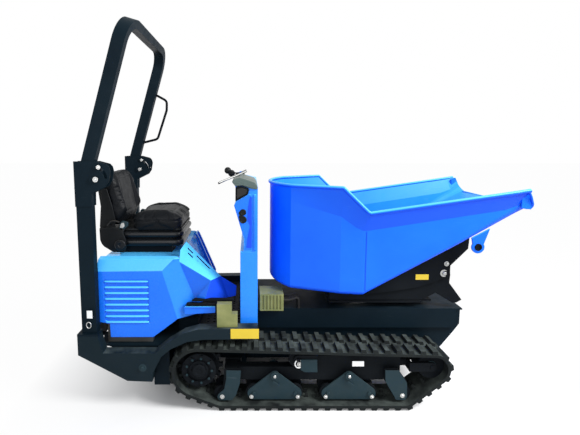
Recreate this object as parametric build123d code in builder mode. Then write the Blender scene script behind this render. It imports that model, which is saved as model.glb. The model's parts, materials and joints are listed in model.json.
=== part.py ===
# Tracked power carrier: a ride-on mini dumper with rubber tracks, a folding roll bar
# and a skip that swivels and tips. Millimetres, +X forward, +Y to the machine's left,
# +Z up. The origin is on the ground under the middle of the machine.
from math import atan2, cos, degrees, radians, sin, sqrt
import os

from build123d import *

os.makedirs("parts", exist_ok=True)

# Overall stations
skip_lip_x = 1466
skirt_rear_x = -skip_lip_x
front_plate_x = 1133
track_gauge_y = 435

# General plates, fits and fasteners
plate = 10
thin_plate = 6
sheet = 4
running_fit = 0.05
seat_gap = 0.3
free_gap = 4
bolt_r = 9
bolt_head = 8
pin_r = 12.5
cut_over = 2

# Rubber track
belt_width = 230
belt_carcass = 18
lug_height = 20
lug_root = 5
lug_pitch = 77
lug_base = 42
lug_taper = 14
lug_gap = 14
horn_height = 28
horn_length = 26
horn_width = 14
horn_offset = 23
horn_taper = 10

# Wheels inside the track
sprocket_x = -691
sprocket_z = 256
sprocket_belt_r = 152
sprocket_teeth = 13
sprocket_root_r = 128
sprocket_half = 11
sprocket_tooth = 26
drum_r = 112
drum_bolts = 9
drum_bolt_r = 98
drum_step = 12
cap_r = 62
cap_bolts = 8
cap_bolt_r = 46
idler_x = 831
idler_z = 280
idler_belt_r = 87
idler_hub_r = 50
rim_in = 36
rim_out = 58
roller_r = 52
roller_hub_r = 20
roller_belt_gap = 0.4
rear_roller_x = -541
front_roller_x = 652
bogie_x = (-195, 292)
bogie_spread = 136
bogie_rock_deg = 2
carrier_x = -41
carrier_r = 62
carrier_hub_r = 30

ground_inner_z = belt_carcass + lug_height
fixed_roller_z = ground_inner_z + roller_r + roller_belt_gap
rock_drop = bogie_spread * sin(radians(bogie_rock_deg)) + roller_belt_gap
bogie_roller_z = fixed_roller_z + rock_drop
track_outer_y = track_gauge_y + belt_width / 2
track_inner_y = track_gauge_y - belt_width / 2

# Track frame
beam_half = 30
beam_bottom_z = 165
beam_top_z = 255
guard_top_z = 332
beam_rear_x = -525
beam_front_x = 640
guard_rear_x = 60
cheek_in = 62
cheek = 10
axle_head = 9
bogie_pivot_z = 215
bogie_eye_r = 32
bogie_corner_r = 42
hanger_rear_x = -565
hanger_length = 145
hanger_front_x = 523
hanger_front_length = 157
hanger_bottom_z = 55
hanger_height = 210
hanger_rear_shares = [(0.26, 1), (1, 1), (1, 0.7), (0.86, 0.38), (0.55, 0), (0.03, 0.02), (0, 0.24), (0.21, 0.4), (0.26, 0.7)]
hanger_front_shares = [(0, 1), (0.55, 1), (0.95, 0.6), (1, 0.26), (0.95, 0), (0.49, 0), (0, 0.64)]
fork_travel = 40
fork_arm = 16
fork_height = 60
fork_rod_r = 28
fork_block = 60

# Main frame
frame_half = 262
frame_rear_x = -1400
frame_bottom_z = 200
deck_z = 580
deck_half = 290
deck_rear_x = -300
floor_frame_z = 496
engine_deck_z = 404
engine_deck_rear_x = -1340
engine_deck_front_x = -860
frame_side_length = front_plate_x - frame_rear_x
frame_side_height = deck_z - plate - frame_bottom_z
frame_side_shares = [
    (0, 0.52), (0, 0.27), (0.1, 0), (0.92, 0), (0.953, 0.257), (0.984, 0.535), (1, 0.69), (1, 1),
]
frame_step_shares = (0.773, 0.52)
cross_stations = ((-416, -381), (-5, 105), (478, 518))
cross_bottom_z = 190
cross_top_z = 250
rail_bottom_z = 440
counterweight_rear_x = -1000
counterweight_front_x = -895
counterweight_half = 445
counterweight_bottom_z = 115
bumper_front_x = -1400
bumper_bottom_z = 371
hitch_z = 500
hitch_ear = 14
hitch_gap = 40
hitch_reach = 36
hitch_height = 70
hitch_pin_r = 12

# Side skirts
skirt_in = 453
skirt_out = 530
skirt_front_x = -308
skirt_bottom_z = 190
sill_top_z = 554
skirt_shares = [
    (0, 0.85), (0, 0.5), (0.27, 0.02), (0.41, 0), (0.415, 0.17), (0.462, 0.467), (0.518, 0.615),
    (0.608, 0.747), (0.697, 0.79), (1, 0.8), (1, 1), (0.671, 0.985), (0.591, 0.91), (0.5, 0.733),
    (0.427, 0.54), (0.14, 0.54), (0.113, 0.85),
]
skirt_bolt_x = -1052
skirt_bolt_z = 287

# Floor
floor_rear_x = -700
floor_sheet = 8
floor_near_y = -440
floor_hole_r = 9
floor_hole_pitch = 42
floor_hole_columns = 8
floor_hole_rows = 19
kick_height = 68

# Roll bar
post_rear_x = -1440
post_depth = 95
post_width = 56
post_y = 483
post_top_z = 1425
post_foot_z = skirt_bottom_z + 0.85 * (sill_top_z - skirt_bottom_z)
post_foot = 14
post_foot_front_x = -1330
post_wall = 6
cheek_plate = 6
cheek_bottom_z = 1340
cheek_rear_x = -1443
cheek_length = 226
cheek_height = 282
cheek_shares = [
    (0, 1), (0, 0), (0.46, 0), (0.47, 0.29), (0.85, 0.44), (0.95, 0.56), (1, 0.78), (0.97, 0.88),
    (0.9, 0.94), (0.62, 1),
]
fold_x = -1328
fold_z = 1508
fold_r = 46
fold_pin_r = 14
fold_range_deg = 60
lock_dx = 24
lock_dz = 79
lock_r = 9
arch_lean_deg = 16.3
arch_depth = 80
arch_width = 54
arch_low_x = -1410
arch_low_z = 1444
arch_top_z = 2490
arch_bend_r = 150
arch_wall = 5
arch_foot_share = 0.17
handle_y = 483
handle_r = 10
handle_shares = [(-0.1, 1.0), (0.97, 0.86), (0.94, 0.67), (0.1, 0.08), (-1.25, 0)]
handle_x = -1171
handle_low_z = 1735
handle_length = 100
handle_height = 418
handle_bend_r = 40

# Hood
hood_rear_x = -1364
hood_length = 664
hood_half = 445
hood_top_half = 260
hood_top_z = 955
hood_shoulder_z = 905
hood_bottom_z = 451
hood_sheet = 8
hood_shares = [
    (0, 1), (0, 0.225), (0.12, 0.16), (0.125, 0), (0.55, 0), (0.74, 0.2), (0.87, 0.275), (1, 0.275),
    (1, 0.35), (0.81, 1),
]
louvre_x = -1165
louvre_length = 270
louvre_top_z = 835
louvre_pitch = 37
louvre_count = 8
louvre_height = 14
louvre_stand = 7
hinge_x = -814
hinge_z = 965
hinge_r = 11
hinge_pin_r = 6
hinge_near_y = 320
hinge_far_y = 400
hinge_leaf = 30
hinge_ear = 18
stay_shares = [
    (0, 0), (0, 0.273), (0.98, 0.96), (1.09, 1), (0.98, 1.024), (0.85, 0.98), (-0.3, 0.273), (-0.3, 0),
]

# Side cowl beside the operator's right leg
cowl_rear_x = -806
cowl_front_x = -442
cowl_bottom_z = 631
cowl_height = 435
cowl_out = 445
cowl_step = 300
cowl_in = 262
cowl_low_shares = [(0, 0.74), (0.13, 0.78), (0.55, 0.5), (1, 0.26), (1, 0.19), (0.65, 0.09), (0.32, 0), (0.28, 0.04)]
cowl_high_shares = [(0, 0.81), (0.06, 0.985), (0.715, 0.405), (1, 0.245), (1, 0.19), (0.65, 0.09), (0.32, 0), (0.28, 0.04)]
cowl_leg_front_x = -600

# Engine, cooling and tank
engine_rear_x = -1290
engine_front_x = -980
engine_near_y = -270
engine_far_y = 280
engine_top_z = 800
engine_foot = 40
cylinder_head_z = 860
fan_x = -1160
fan_z = 690
fan_y = -330
fan_r = 130
fan_hub_r = 38
fan_depth = 24
fan_blades = 7
fan_blade = 8
fan_pitch_deg = 35
fan_shaft_r = 12
radiator_length = 300
radiator_height = 300
radiator_depth = 44
radiator_y = -395
radiator_core = 20
tank_near_y = 300
tank_far_y = 420
tank_top_z = 760
tank_neck_r = 28
tank_neck = 30

# Hydraulics
valve_bank_rear_x = -289
valve_bank_front_x = -125
valve_bank_y = -250
valve_bank_width = 160
valve_bank_height = 118
valve_bank_fins = 7
fin_gap_share = 0.45
brake_valve_rear_x = -570
brake_valve_length = 132
brake_valve_height = 86
brake_valve_top = 65
brake_valve_top_share = 0.72
brake_valve_y = -510
brake_valve_width = 50
hose_r = 9
hose_spacing = 34
hose_count = 3
hose_bend_r = 34
hose_rise = 46
hose_reach = 110

# Seat
seat_base_rear_x = -1290
seat_base_length = 375
seat_base_half = 190
seat_base_height = 45
bellows_rear_x = -1300
bellows_length = 470
bellows_half = 225
bellows_fold = 60
bellows_round = 24
bellows_corner = 70
pan_height = 14
cushion_rear_x = -1215
cushion_length = 385
cushion_half = 235
cushion_height = 92
cushion_corner = 70
cushion_shares = [(0, 0.07), (0.3, 0), (0.72, 0.02), (0.92, 0.14), (1, 0.34)]
back_x = -1330
back_z = 1180
back_lean_deg = 8
back_height = 335
back_half = 225
back_depth = 125
back_corner = 95
back_shares = [(0, 0.12), (0.25, 0), (0.65, 0.03), (0.9, 0.15), (1, 0.32)]
recline_z = 1168
recline_pin_r = 10
recline_ear = 12

# Controls
column_rear_x = -420
column_front_x = -307
column_near_y = -450
column_far_y = 250
column_top_z = 1032
column_wall = 5
head_top_z = 1500
head_height = 468
head_rear_x = -459
head_length = 152
head_shares = [
    (0.4, 0), (0.42, 0.18), (0, 0.65), (0.09, 0.71), (0.06, 0.9), (0, 1), (0.2, 0.97), (1, 0.91), (1, 0),
]
lever_y = (-150, 20)
lever_pivot_x = -425
lever_pivot_z = 1512
lever_pin_r = 4
lever_hub_r = 9
lever_hub = 16
lever_ear = 6
lever_rod_r = 5
knob_r = 20
right_knob_dx = -92
right_knob_dz = 26
left_knob_dx = -75
left_knob_dz = -8
rest_y = -95
rest_r = 7
rest_rear_x = -588
rest_rear_z = 1441
rest_front_x = -382
rest_front_z = 1537
switch_x = -415
switch_z = 1275
switch_r = 14
switch_apart = 24
switch_proud = 5
switch_depth = 9

# Slewing ring and turntable
slew_x = 425
slew_out_r = 205
slew_in_r = 150
slew_height = 37
table_z = deck_z + slew_height + seat_gap
table_plate = 15
table_rear_x = 200
table_front_x = 930
table_half = 250
arm_in = 262
arm_out = 280
arm_length = 930
arm_height = 240
arm_shares = [
    (0, 0.09), (0, 0.3), (0.4, 0.36), (0.75, 0.72), (0.79, 0.86), (0.835, 0.98), (0.87, 0.98),
    (0.905, 0.86), (0.9, 0.6), (1, 0.09), (0.96, 0), (0.93, 0), (0.8, 0.3), (0.7, 0.09),
]
tip_x = 995
tip_z = 838
tip_pin_r = 18
tip_boss_r = 34
rest_pad_x = 250
rest_pad = 40

# Skip
skip_floor_z = 735
skip_rear_x = -205
skip_chine_x = 391
skip_knuckle_x = 240
skip_shoulder_x = -79
skip_shoulder_y = 300
skip_knuckle_y = 405
skip_half = 425
skip_sheet = 8
skip_rear_rim_z = 1448
skip_fold_rear_z = 1255
skip_fold_notch_z = 1165
skip_notch_x = 412
skip_notch_z = 1285
skip_lip_top_z = 1430
skip_lip_low_z = 1330
skip_chute_x = 1415
skip_chute_z = 1291
skip_rim_half = 470
skip_tube_r = 14
skip_lug_r = 42
skip_lug_x = 1145
skip_lug_z = 1052
skip_lug_hole_r = 14
skip_lug = 12
skip_lug_y = 396

# Skip underframe
under_in = 286
under_out = 300
under_rear_x = 450
under_length = 700
under_low_z = 690
under_height = 460
under_shares = [
    (0.02, 0.1), (0, 0), (0.21, 0.03), (0.5, 0.1), (0.7, 0.2), (0.745, 0.235), (0.79, 0.235),
    (0.825, 0.3), (0.825, 0.44), (0.99, 0.7), (1, 0.955),
]

# Tipping cylinder
ram_base_x = 410
ram_base_z = 668
ram_eye_x = 930
ram_eye_z = 878
barrel_r = 38
barrel_tail_r = 26
barrel_length = 420
ram_rod_r = 15
ram_pin_r = 12
ram_eye_bore_r = 27
ram_eye_r = 38
ram_eye_half = 16


def spread(shares, x0, z0, length, height):
    """Outline points from shares of a length and a height."""
    return [(x0 + a * length, z0 + b * height) for a, b in shares]


def slab(x0, x1, y0, y1, z0, z1, mode=Mode.ADD):
    with Locations(((x0 + x1) / 2, (y0 + y1) / 2, (z0 + z1) / 2)):
        Box(x1 - x0, y1 - y0, z1 - z0, mode=mode)


def side_plate(points, y0, y1, mode=Mode.ADD):
    """A plate cut to an outline in the XZ plane, between two Y values."""
    with BuildSketch(Plane.XZ.offset(-y1)) as outline:
        with BuildLine():
            Polyline(*points, close=True)
        make_face()
    extrude(outline.sketch, amount=y1 - y0, mode=mode)


def round_y(x, z, r, y0, y1, mode=Mode.ADD):
    with BuildSketch(Plane.XZ.offset(-y1)) as disc:
        with Locations((x, z)):
            Circle(r)
    extrude(disc.sketch, amount=y1 - y0, mode=mode)


def round_z(x, y, r, z0, z1, mode=Mode.ADD):
    with BuildSketch(Plane.XY.offset(z0)) as disc:
        with Locations((x, y)):
            Circle(r)
    extrude(disc.sketch, amount=z1 - z0, mode=mode)


def across(side, near, far):
    """Two distances from the middle as a low and a high Y on one side."""
    return (near, far) if side > 0 else (-far, -near)


def save(builder, name):
    builder.part.label = name
    export_step(builder.part, f"parts/{name}.step")


def save_mirrored(builder, name):
    """The same piece for the machine's left side."""
    with BuildPart() as twin:
        add(mirror(builder.part, about=Plane.XZ, mode=Mode.PRIVATE))
    save(twin, name)


# Rubber track: a moulded band with two staggered rows of lugs and a double row of horns
gauge = -track_gauge_y
wrap_wheels = (
    (sprocket_x, sprocket_z, sprocket_belt_r),
    (rear_roller_x, fixed_roller_z, roller_r + roller_belt_gap),
    (front_roller_x, fixed_roller_z, roller_r + roller_belt_gap),
    (idler_x, idler_z, idler_belt_r),
)


def track_outline(grow):
    with BuildSketch(Plane.XZ) as outline:
        for x, z, r in wrap_wheels:
            with Locations((x, z)):
                Circle(r + grow)
        make_hull()
    return outline.sketch


def band_planes(outline, count, shift, y, inward):
    """Planes standing on the band, evenly spaced, looking away from or into the loop."""
    wire = outline.faces()[0].outer_wire()
    planes = []
    for step in range(count):
        place = ((step + shift) / count) % 1
        point = wire.position_at(place)
        along = wire.tangent_at(place)
        away = along.cross(Vector(0, 1, 0))
        middle = Vector((sprocket_x + idler_x) / 2, 0, idler_z)
        if away.dot(point - middle) < 0:
            away = away * -1
        if inward:
            away = away * -1
        root = point - away * lug_root
        planes.append(Plane(origin=(root.X, y, root.Z), x_dir=along, z_dir=away))
    return planes


inner_loop = track_outline(0)
outer_loop = track_outline(belt_carcass)
band_length = outer_loop.faces()[0].outer_wire().length
lug_count = round(band_length / lug_pitch)
lug_row = (belt_width - lug_gap) / 2
with BuildPart() as track_belt:
    with BuildSketch(Plane.XZ.offset(track_outer_y)):
        for x, z, r in wrap_wheels:
            with Locations((x, z)):
                Circle(r + belt_carcass)
        make_hull()
    extrude(amount=-belt_width)
    with BuildSketch(Plane.XZ.offset(track_outer_y)):
        for x, z, r in wrap_wheels:
            with Locations((x, z)):
                Circle(r)
        make_hull()
    extrude(amount=-belt_width, mode=Mode.SUBTRACT)
    for row, shift in ((-1, 0), (1, 1 / 2)):
        row_y = gauge + row * (lug_row + lug_gap) / 2
        with BuildSketch(*band_planes(outer_loop, lug_count, shift, row_y, False)):
            Rectangle(lug_base, lug_row)
        extrude(amount=lug_height + lug_root, taper=lug_taper)
    for row in (-1, 1):
        with BuildSketch(*band_planes(inner_loop, lug_count, 1 / 4, gauge + row * horn_offset, True)):
            Rectangle(horn_length, horn_width)
        extrude(amount=horn_height + lug_root, taper=horn_taper)
    slab(sprocket_x, idler_x, -track_outer_y, -track_inner_y, -lug_height, 0, mode=Mode.SUBTRACT)
save(track_belt, "right_track_belt")
save_mirrored(track_belt, "left_track_belt")
print("lugs in a row", lug_count)

# Track frames: box beams with roller hangers, a carrier bracket and a front guard
beam_y = (gauge - beam_half, gauge + beam_half)
near_cheek_y = (gauge - cheek_in - cheek, gauge - cheek_in)
far_cheek_y = (gauge + cheek_in, gauge + cheek_in + cheek)
upper_run_slope = (idler_z + idler_belt_r - sprocket_z - sprocket_belt_r) / (idler_x - sprocket_x)
upper_run_z = sprocket_z + sprocket_belt_r + upper_run_slope * (carrier_x - sprocket_x)
carrier_z = upper_run_z - carrier_r - roller_belt_gap
with BuildPart() as track_frame:
    slab(beam_rear_x, beam_front_x, *beam_y, beam_bottom_z, beam_top_z)
    slab(guard_rear_x, beam_front_x, *beam_y, beam_top_z, guard_top_z)
    rear_hanger = spread(hanger_rear_shares, hanger_rear_x, hanger_bottom_z, hanger_length, hanger_height)
    front_hanger = spread(hanger_front_shares, hanger_front_x, hanger_bottom_z, hanger_front_length, hanger_height)
    for outline, axle_x in ((rear_hanger, rear_roller_x), (front_hanger, front_roller_x)):
        for low, high in (near_cheek_y, far_cheek_y):
            side_plate(outline, low, high)
        round_y(axle_x, fixed_roller_z, pin_r, near_cheek_y[0] - axle_head, far_cheek_y[1] + axle_head)
    for tie_x in (beam_rear_x + plate, hanger_front_x + plate):
        slab(tie_x, tie_x + hanger_length / 2, near_cheek_y[0], far_cheek_y[1], beam_top_z - plate * 2, beam_top_z)
    carrier_plate_y = (near_cheek_y[0], near_cheek_y[0] + plate)
    slab(carrier_x, carrier_x + carrier_r * 2, *carrier_plate_y, beam_top_z - plate, carrier_z + carrier_hub_r)
    slab(carrier_x + carrier_r, carrier_x + carrier_r * 2, carrier_plate_y[0], gauge, beam_top_z - plate, beam_top_z)
    round_y(carrier_x, carrier_z, carrier_hub_r, *carrier_plate_y)
    round_y(carrier_x, carrier_z, pin_r, near_cheek_y[0] - axle_head, gauge + rim_out)
    for x in bogie_x:
        round_y(x, bogie_pivot_z, pin_r + running_fit, *beam_y, mode=Mode.SUBTRACT)
    round_bore = fork_rod_r + running_fit
    with BuildSketch(Plane.YZ.offset(beam_front_x - fork_block * 3)):
        with Locations((gauge, idler_z)):
            Circle(round_bore)
    extrude(amount=fork_block * 3, mode=Mode.SUBTRACT)
with BuildPart() as track_frames:
    add(track_frame.part)
    add(mirror(track_frame.part, about=Plane.XZ, mode=Mode.PRIVATE))
save(track_frames, "track_frames")

# Drive motors: fixed housings inboard of the sprockets
motor_in = frame_half
motor_out = track_gauge_y - sprocket_half - free_gap * 2
stub_r = drum_r / 3
stub_length = (motor_out - motor_in) / 2
with BuildPart() as drive_motors:
    for side in (-1, 1):
        low, high = across(side, motor_in, motor_out)
        round_y(sprocket_x, sprocket_z, cap_r + drum_step * 2, low, high)
        low, high = across(side, motor_in, motor_in + plate * 2)
        round_y(sprocket_x, sprocket_z, drum_r, low, high)
        low, high = across(side, motor_out - stub_length - free_gap, motor_out)
        round_y(sprocket_x, sprocket_z, stub_r + running_fit, low, high, mode=Mode.SUBTRACT)
save(drive_motors, "drive_motors")

# Sprockets: a toothed ring bolted to the turning drum of the final drive
with BuildPart() as sprocket:
    with BuildSketch(Plane.XZ.offset(track_gauge_y + sprocket_half)):
        with Locations((sprocket_x, sprocket_z)):
            Circle(sprocket_root_r)
            with PolarLocations(sprocket_root_r, sprocket_teeth):
                Rectangle((sprocket_belt_r - sprocket_root_r) * 2, sprocket_tooth)
            Circle(sprocket_belt_r - roller_belt_gap * 2, mode=Mode.INTERSECT)
    extrude(amount=-sprocket_half * 2)
    drum_outer = track_gauge_y + cheek_in + cheek
    low, high = -drum_outer, gauge
    round_y(sprocket_x, sprocket_z, drum_r, low, high)
    round_y(sprocket_x, sprocket_z, drum_bolt_r - bolt_r * 2, low, low + drum_step, mode=Mode.SUBTRACT)
    round_y(sprocket_x, sprocket_z, cap_r, low, gauge)
    round_y(sprocket_x, sprocket_z, stub_r, gauge, -motor_out + stub_length)
    with BuildSketch(Plane.XZ.offset(drum_outer)):
        with Locations((sprocket_x, sprocket_z)):
            with PolarLocations(drum_bolt_r, drum_bolts):
                RegularPolygon(bolt_r, 6)
            with PolarLocations(cap_bolt_r, cap_bolts):
                RegularPolygon(bolt_r * 0.7, 6)
    extrude(amount=bolt_head)
save(sprocket, "right_sprocket")
save_mirrored(sprocket, "left_sprocket")


def track_wheel(x, z, wheel_r, hub_r):
    """A double rimmed roller with a bore for its pin."""
    with BuildPart() as wheel:
        round_y(x, z, hub_r, gauge - rim_out, gauge + rim_out)
        for low, high in ((gauge - rim_out, gauge - rim_in), (gauge + rim_in, gauge + rim_out)):
            round_y(x, z, wheel_r, low, high)
        round_y(x, z, pin_r + running_fit, gauge - rim_out, gauge + rim_out, mode=Mode.SUBTRACT)
    return wheel


# Front idlers and the forks that tension the tracks
idler = track_wheel(idler_x, idler_z, idler_belt_r - roller_belt_gap, idler_hub_r)
save(idler, "right_idler")
save_mirrored(idler, "left_idler")
fork_back_x = beam_front_x + fork_travel + free_gap
with BuildPart() as fork:
    for low, high in (
        (gauge - rim_out - free_gap - fork_arm, gauge - rim_out - free_gap),
        (gauge + rim_out + free_gap, gauge + rim_out + free_gap + fork_arm),
    ):
        slab(fork_back_x, idler_x, low, high, idler_z - fork_height / 2, idler_z + fork_height / 2)
        round_y(idler_x, idler_z, fork_height / 2, low, high)
    back_y = (gauge - rim_out - free_gap - fork_arm, gauge + rim_out + free_gap + fork_arm)
    slab(fork_back_x, fork_back_x + fork_arm, *back_y, idler_z - fork_height / 2, idler_z + fork_height / 2)
    round_y(idler_x, idler_z, pin_r, back_y[0] - axle_head / 2, back_y[1] + axle_head / 2)
    with BuildSketch(Plane.YZ.offset(fork_back_x)):
        with Locations((gauge, idler_z)):
            Circle(fork_rod_r)
    extrude(amount=-fork_block * 2)
save(fork, "right_tension_fork")
save_mirrored(fork, "left_tension_fork")

# Bogies: two rollers under a pair of triangular cheeks that rock on one pin
for number, pivot_x in zip(("rear", "front"), bogie_x):
    with BuildPart() as bogie:
        for low, high in (near_cheek_y, far_cheek_y):
            with BuildSketch(Plane.XZ.offset(-high)):
                with Locations((pivot_x, bogie_pivot_z)):
                    Circle(bogie_eye_r)
                for end in (-1, 1):
                    with Locations((pivot_x + end * bogie_spread, bogie_roller_z)):
                        Circle(bogie_corner_r)
                make_hull()
            extrude(amount=high - low)
        for x, z in (
            (pivot_x, bogie_pivot_z),
            (pivot_x - bogie_spread, bogie_roller_z),
            (pivot_x + bogie_spread, bogie_roller_z),
        ):
            round_y(x, z, pin_r, near_cheek_y[0] - axle_head, far_cheek_y[1] + axle_head)
    save(bogie, f"right_{number}_bogie")
    save_mirrored(bogie, f"left_{number}_bogie")

roller_places = [(rear_roller_x, fixed_roller_z)]
for pivot_x in bogie_x:
    roller_places += [(pivot_x - bogie_spread, bogie_roller_z), (pivot_x + bogie_spread, bogie_roller_z)]
roller_places.append((front_roller_x, fixed_roller_z))
for number, (x, z) in enumerate(roller_places, start=1):
    roller = track_wheel(x, z, roller_r, roller_hub_r)
    save(roller, f"right_roller_{number}")
    save_mirrored(roller, f"left_roller_{number}")
carrier = track_wheel(carrier_x, carrier_z, carrier_r, carrier_hub_r)
save(carrier, "right_carrier_roller")
save_mirrored(carrier, "left_carrier_roller")

# Main frame: side plates, decks, cross members to the track frames, rear ballast and hitch
frame_outline = spread(frame_side_shares, frame_rear_x, frame_bottom_z, frame_side_length, frame_side_height)
floor_level = frame_bottom_z + frame_step_shares[0] * frame_side_height
engine_level = frame_bottom_z + frame_step_shares[1] * frame_side_height
frame_outline += [
    (deck_rear_x, deck_z - plate), (deck_rear_x, floor_level), (engine_deck_front_x, floor_level),
    (engine_deck_front_x, engine_level),
]
frame_plates = []


def weld_on(maker, *sizes):
    """A plate of the welded frame, which ends where it meets the plates before it."""
    with BuildPart() as piece:
        maker(*sizes)
        for earlier in frame_plates:
            add(earlier, mode=Mode.SUBTRACT)
    frame_plates.extend(piece.part.solids())


def ear(low, high):
    slab(front_plate_x, front_plate_x + hitch_reach * 2, low, high, hitch_z - hitch_height / 2, hitch_z + hitch_height / 2)
    round_y(front_plate_x + hitch_reach, hitch_z, hitch_pin_r + running_fit, low, high, mode=Mode.SUBTRACT)


weld_on(slab, deck_rear_x, front_plate_x, -deck_half, deck_half, deck_z - plate, deck_z)
weld_on(slab, engine_deck_front_x, deck_rear_x, -frame_half, frame_half, floor_frame_z - plate, floor_frame_z)
weld_on(slab, engine_deck_rear_x, engine_deck_front_x, -skirt_in, skirt_in, engine_deck_z - plate, engine_deck_z)
for side in (-1, 1):
    weld_on(side_plate, frame_outline, *across(side, frame_half - plate, frame_half))
weld_on(slab, front_plate_x - plate, front_plate_x, -frame_half, frame_half, deck_z - plate * 12, deck_z)
weld_on(
    slab, frame_rear_x + frame_side_length / 9, table_front_x, -frame_half, frame_half,
    frame_bottom_z, frame_bottom_z + plate,
)
weld_on(slab, skirt_rear_x, bumper_front_x, -skirt_in, skirt_in, bumper_bottom_z, post_foot_z)
weld_on(
    slab, counterweight_rear_x, counterweight_front_x, -counterweight_half, counterweight_half,
    counterweight_bottom_z, engine_deck_z - plate,
)
for side in (-1, 1):
    for x0, x1 in cross_stations:
        low, high = across(side, frame_half, track_gauge_y - beam_half)
        weld_on(slab, x0, x1, low, high, cross_bottom_z, cross_top_z)
    low, high = across(side, frame_half, deck_half)
    weld_on(slab, deck_rear_x, front_plate_x - plate * 4, low, high, rail_bottom_z, deck_z - plate)
    weld_on(ear, *across(side, hitch_gap / 2, hitch_gap / 2 + hitch_ear))
frame = Compound(frame_plates)
frame.label = "main_frame"
export_step(frame, "parts/main_frame.step")

# Side skirts: rear corners, wheel arches and sills
skirt_length = skirt_front_x - skirt_rear_x
skirt_outline = spread(skirt_shares, skirt_rear_x, skirt_bottom_z, skirt_length, sill_top_z - skirt_bottom_z)
with BuildPart() as skirt:
    side_plate(skirt_outline, -skirt_out, -skirt_in)
    round_y(skirt_bolt_x, skirt_bolt_z, bolt_r * 1.4, -skirt_out - bolt_head, -skirt_out)
save(skirt, "right_side_skirt")
save_mirrored(skirt, "left_side_skirt")

# Perforated floor with a kick plate and a stay for the hood's left hinge
with BuildPart() as floor_plate:
    slab(floor_rear_x, deck_rear_x, floor_near_y, skirt_in, floor_frame_z, floor_frame_z + floor_sheet)
    slab(
        floor_rear_x, floor_rear_x + thin_plate, floor_near_y, skirt_in,
        floor_frame_z + floor_sheet, floor_frame_z + floor_sheet + kick_height,
    )
    with BuildSketch(Plane.XY.offset(floor_frame_z)):
        with Locations(((floor_rear_x + deck_rear_x) / 2, (floor_near_y + skirt_in) / 2)):
            with GridLocations(floor_hole_pitch, floor_hole_pitch, floor_hole_columns, floor_hole_rows):
                Circle(floor_hole_r)
    extrude(amount=floor_sheet, mode=Mode.SUBTRACT)
    floor_top_z = floor_frame_z + floor_sheet
    kick_x = floor_rear_x + thin_plate
    stay_outline = spread(stay_shares, kick_x, floor_top_z, hinge_x - kick_x, hinge_z - floor_top_z)
    for low, high in ((hinge_near_y - hinge_ear, hinge_near_y), (hinge_far_y, hinge_far_y + hinge_ear)):
        side_plate(stay_outline, low, high)
    round_y(hinge_x, hinge_z, hinge_pin_r, hinge_near_y - hinge_ear, hinge_far_y + hinge_ear)
save(floor_plate, "floor_plate")

# Roll bar: fixed posts with hinge cheeks, and an arch that folds forward on two pins
cheek_outline = spread(cheek_shares, cheek_rear_x, cheek_bottom_z, cheek_length, cheek_height)
lock_radius = sqrt(lock_dx ** 2 + lock_dz ** 2)
lock_angle = degrees(atan2(lock_dz, lock_dx))
slot_end_deg = degrees(lock_r / lock_radius) + 2
post_half = post_width / 2
with BuildPart() as posts:
    for side in (-1, 1):
        low, high = across(side, post_y - post_half, post_y + post_half)
        slab(post_rear_x, post_rear_x + post_depth, low, high, post_foot_z, post_top_z)
        inside_y = (low + post_wall, high - post_wall)
        slab(
            post_rear_x + post_wall, post_rear_x + post_depth - post_wall, *inside_y,
            post_foot_z + post_foot, post_top_z - post_wall, mode=Mode.SUBTRACT,
        )
        foot_y = across(side, skirt_in, skirt_out)
        slab(skirt_rear_x, post_foot_front_x, *foot_y, post_foot_z, post_foot_z + post_foot)
        for inner in (post_y - post_half - cheek_plate, post_y + post_half):
            low, high = across(side, inner, inner + cheek_plate)
            side_plate(cheek_outline, low, high)
            round_y(fold_x, fold_z, fold_pin_r + running_fit, low, high, mode=Mode.SUBTRACT)
            with BuildSketch(Plane.XZ.offset(-high)):
                with BuildLine():
                    CenterArc(
                        (fold_x, fold_z), lock_radius, lock_angle - fold_range_deg - slot_end_deg,
                        fold_range_deg + slot_end_deg * 2,
                    )
                trace(line_width=lock_r * 2 + seat_gap * 4)
            extrude(amount=high - low, mode=Mode.SUBTRACT)
save(posts, "roll_bar_posts")

lean = radians(arch_lean_deg)
leg_run = (arch_top_z - arch_low_z) / cos(lean)
arch_plane = Plane(origin=(arch_low_x, 0, arch_low_z), x_dir=(0, 1, 0), z_dir=(cos(lean), 0, -sin(lean)))
pin_reach = post_half + cheek_plate + seat_gap
with BuildPart() as arch:
    with BuildLine(arch_plane) as arch_path:
        FilletPolyline(
            (-post_y, 0), (-post_y, leg_run), (post_y, leg_run), (post_y, 0), radius=arch_bend_r,
        )
    foot_plane = Plane(
        origin=(arch_low_x, -post_y, arch_low_z), x_dir=(0, 1, 0), z_dir=(sin(lean), 0, cos(lean)),
    )
    with BuildSketch(foot_plane):
        Rectangle(arch_width, arch_depth)
    sweep()
    for side in (-1, 1):
        low, high = across(side, post_y - arch_width / 2, post_y + arch_width / 2)
        side_plate(
            [
                (fold_x + lock_dx + fold_r / 2, fold_z + lock_dz + fold_r / 2),
                (arch_low_x + arch_depth / 2, fold_z + lock_dz + fold_r),
                (arch_low_x, fold_z - fold_r),
                (fold_x, fold_z - fold_r),
                (fold_x + fold_r * 0.7, fold_z - fold_r * 0.7),
                (fold_x + fold_r, fold_z),
            ],
            low, high,
        )
        low, high = across(side, post_y - pin_reach - bolt_head, post_y + pin_reach + bolt_head)
        round_y(fold_x, fold_z, fold_pin_r, low, high)
        round_y(fold_x + lock_dx, fold_z + lock_dz, lock_r, low, high)
        for inner in (post_y - pin_reach - bolt_head, post_y + pin_reach):
            low, high = across(side, inner, inner + bolt_head)
            round_y(fold_x, fold_z, fold_pin_r * 1.5, low, high)
            round_y(fold_x + lock_dx, fold_z + lock_dz, lock_r * 1.8, low, high)

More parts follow.
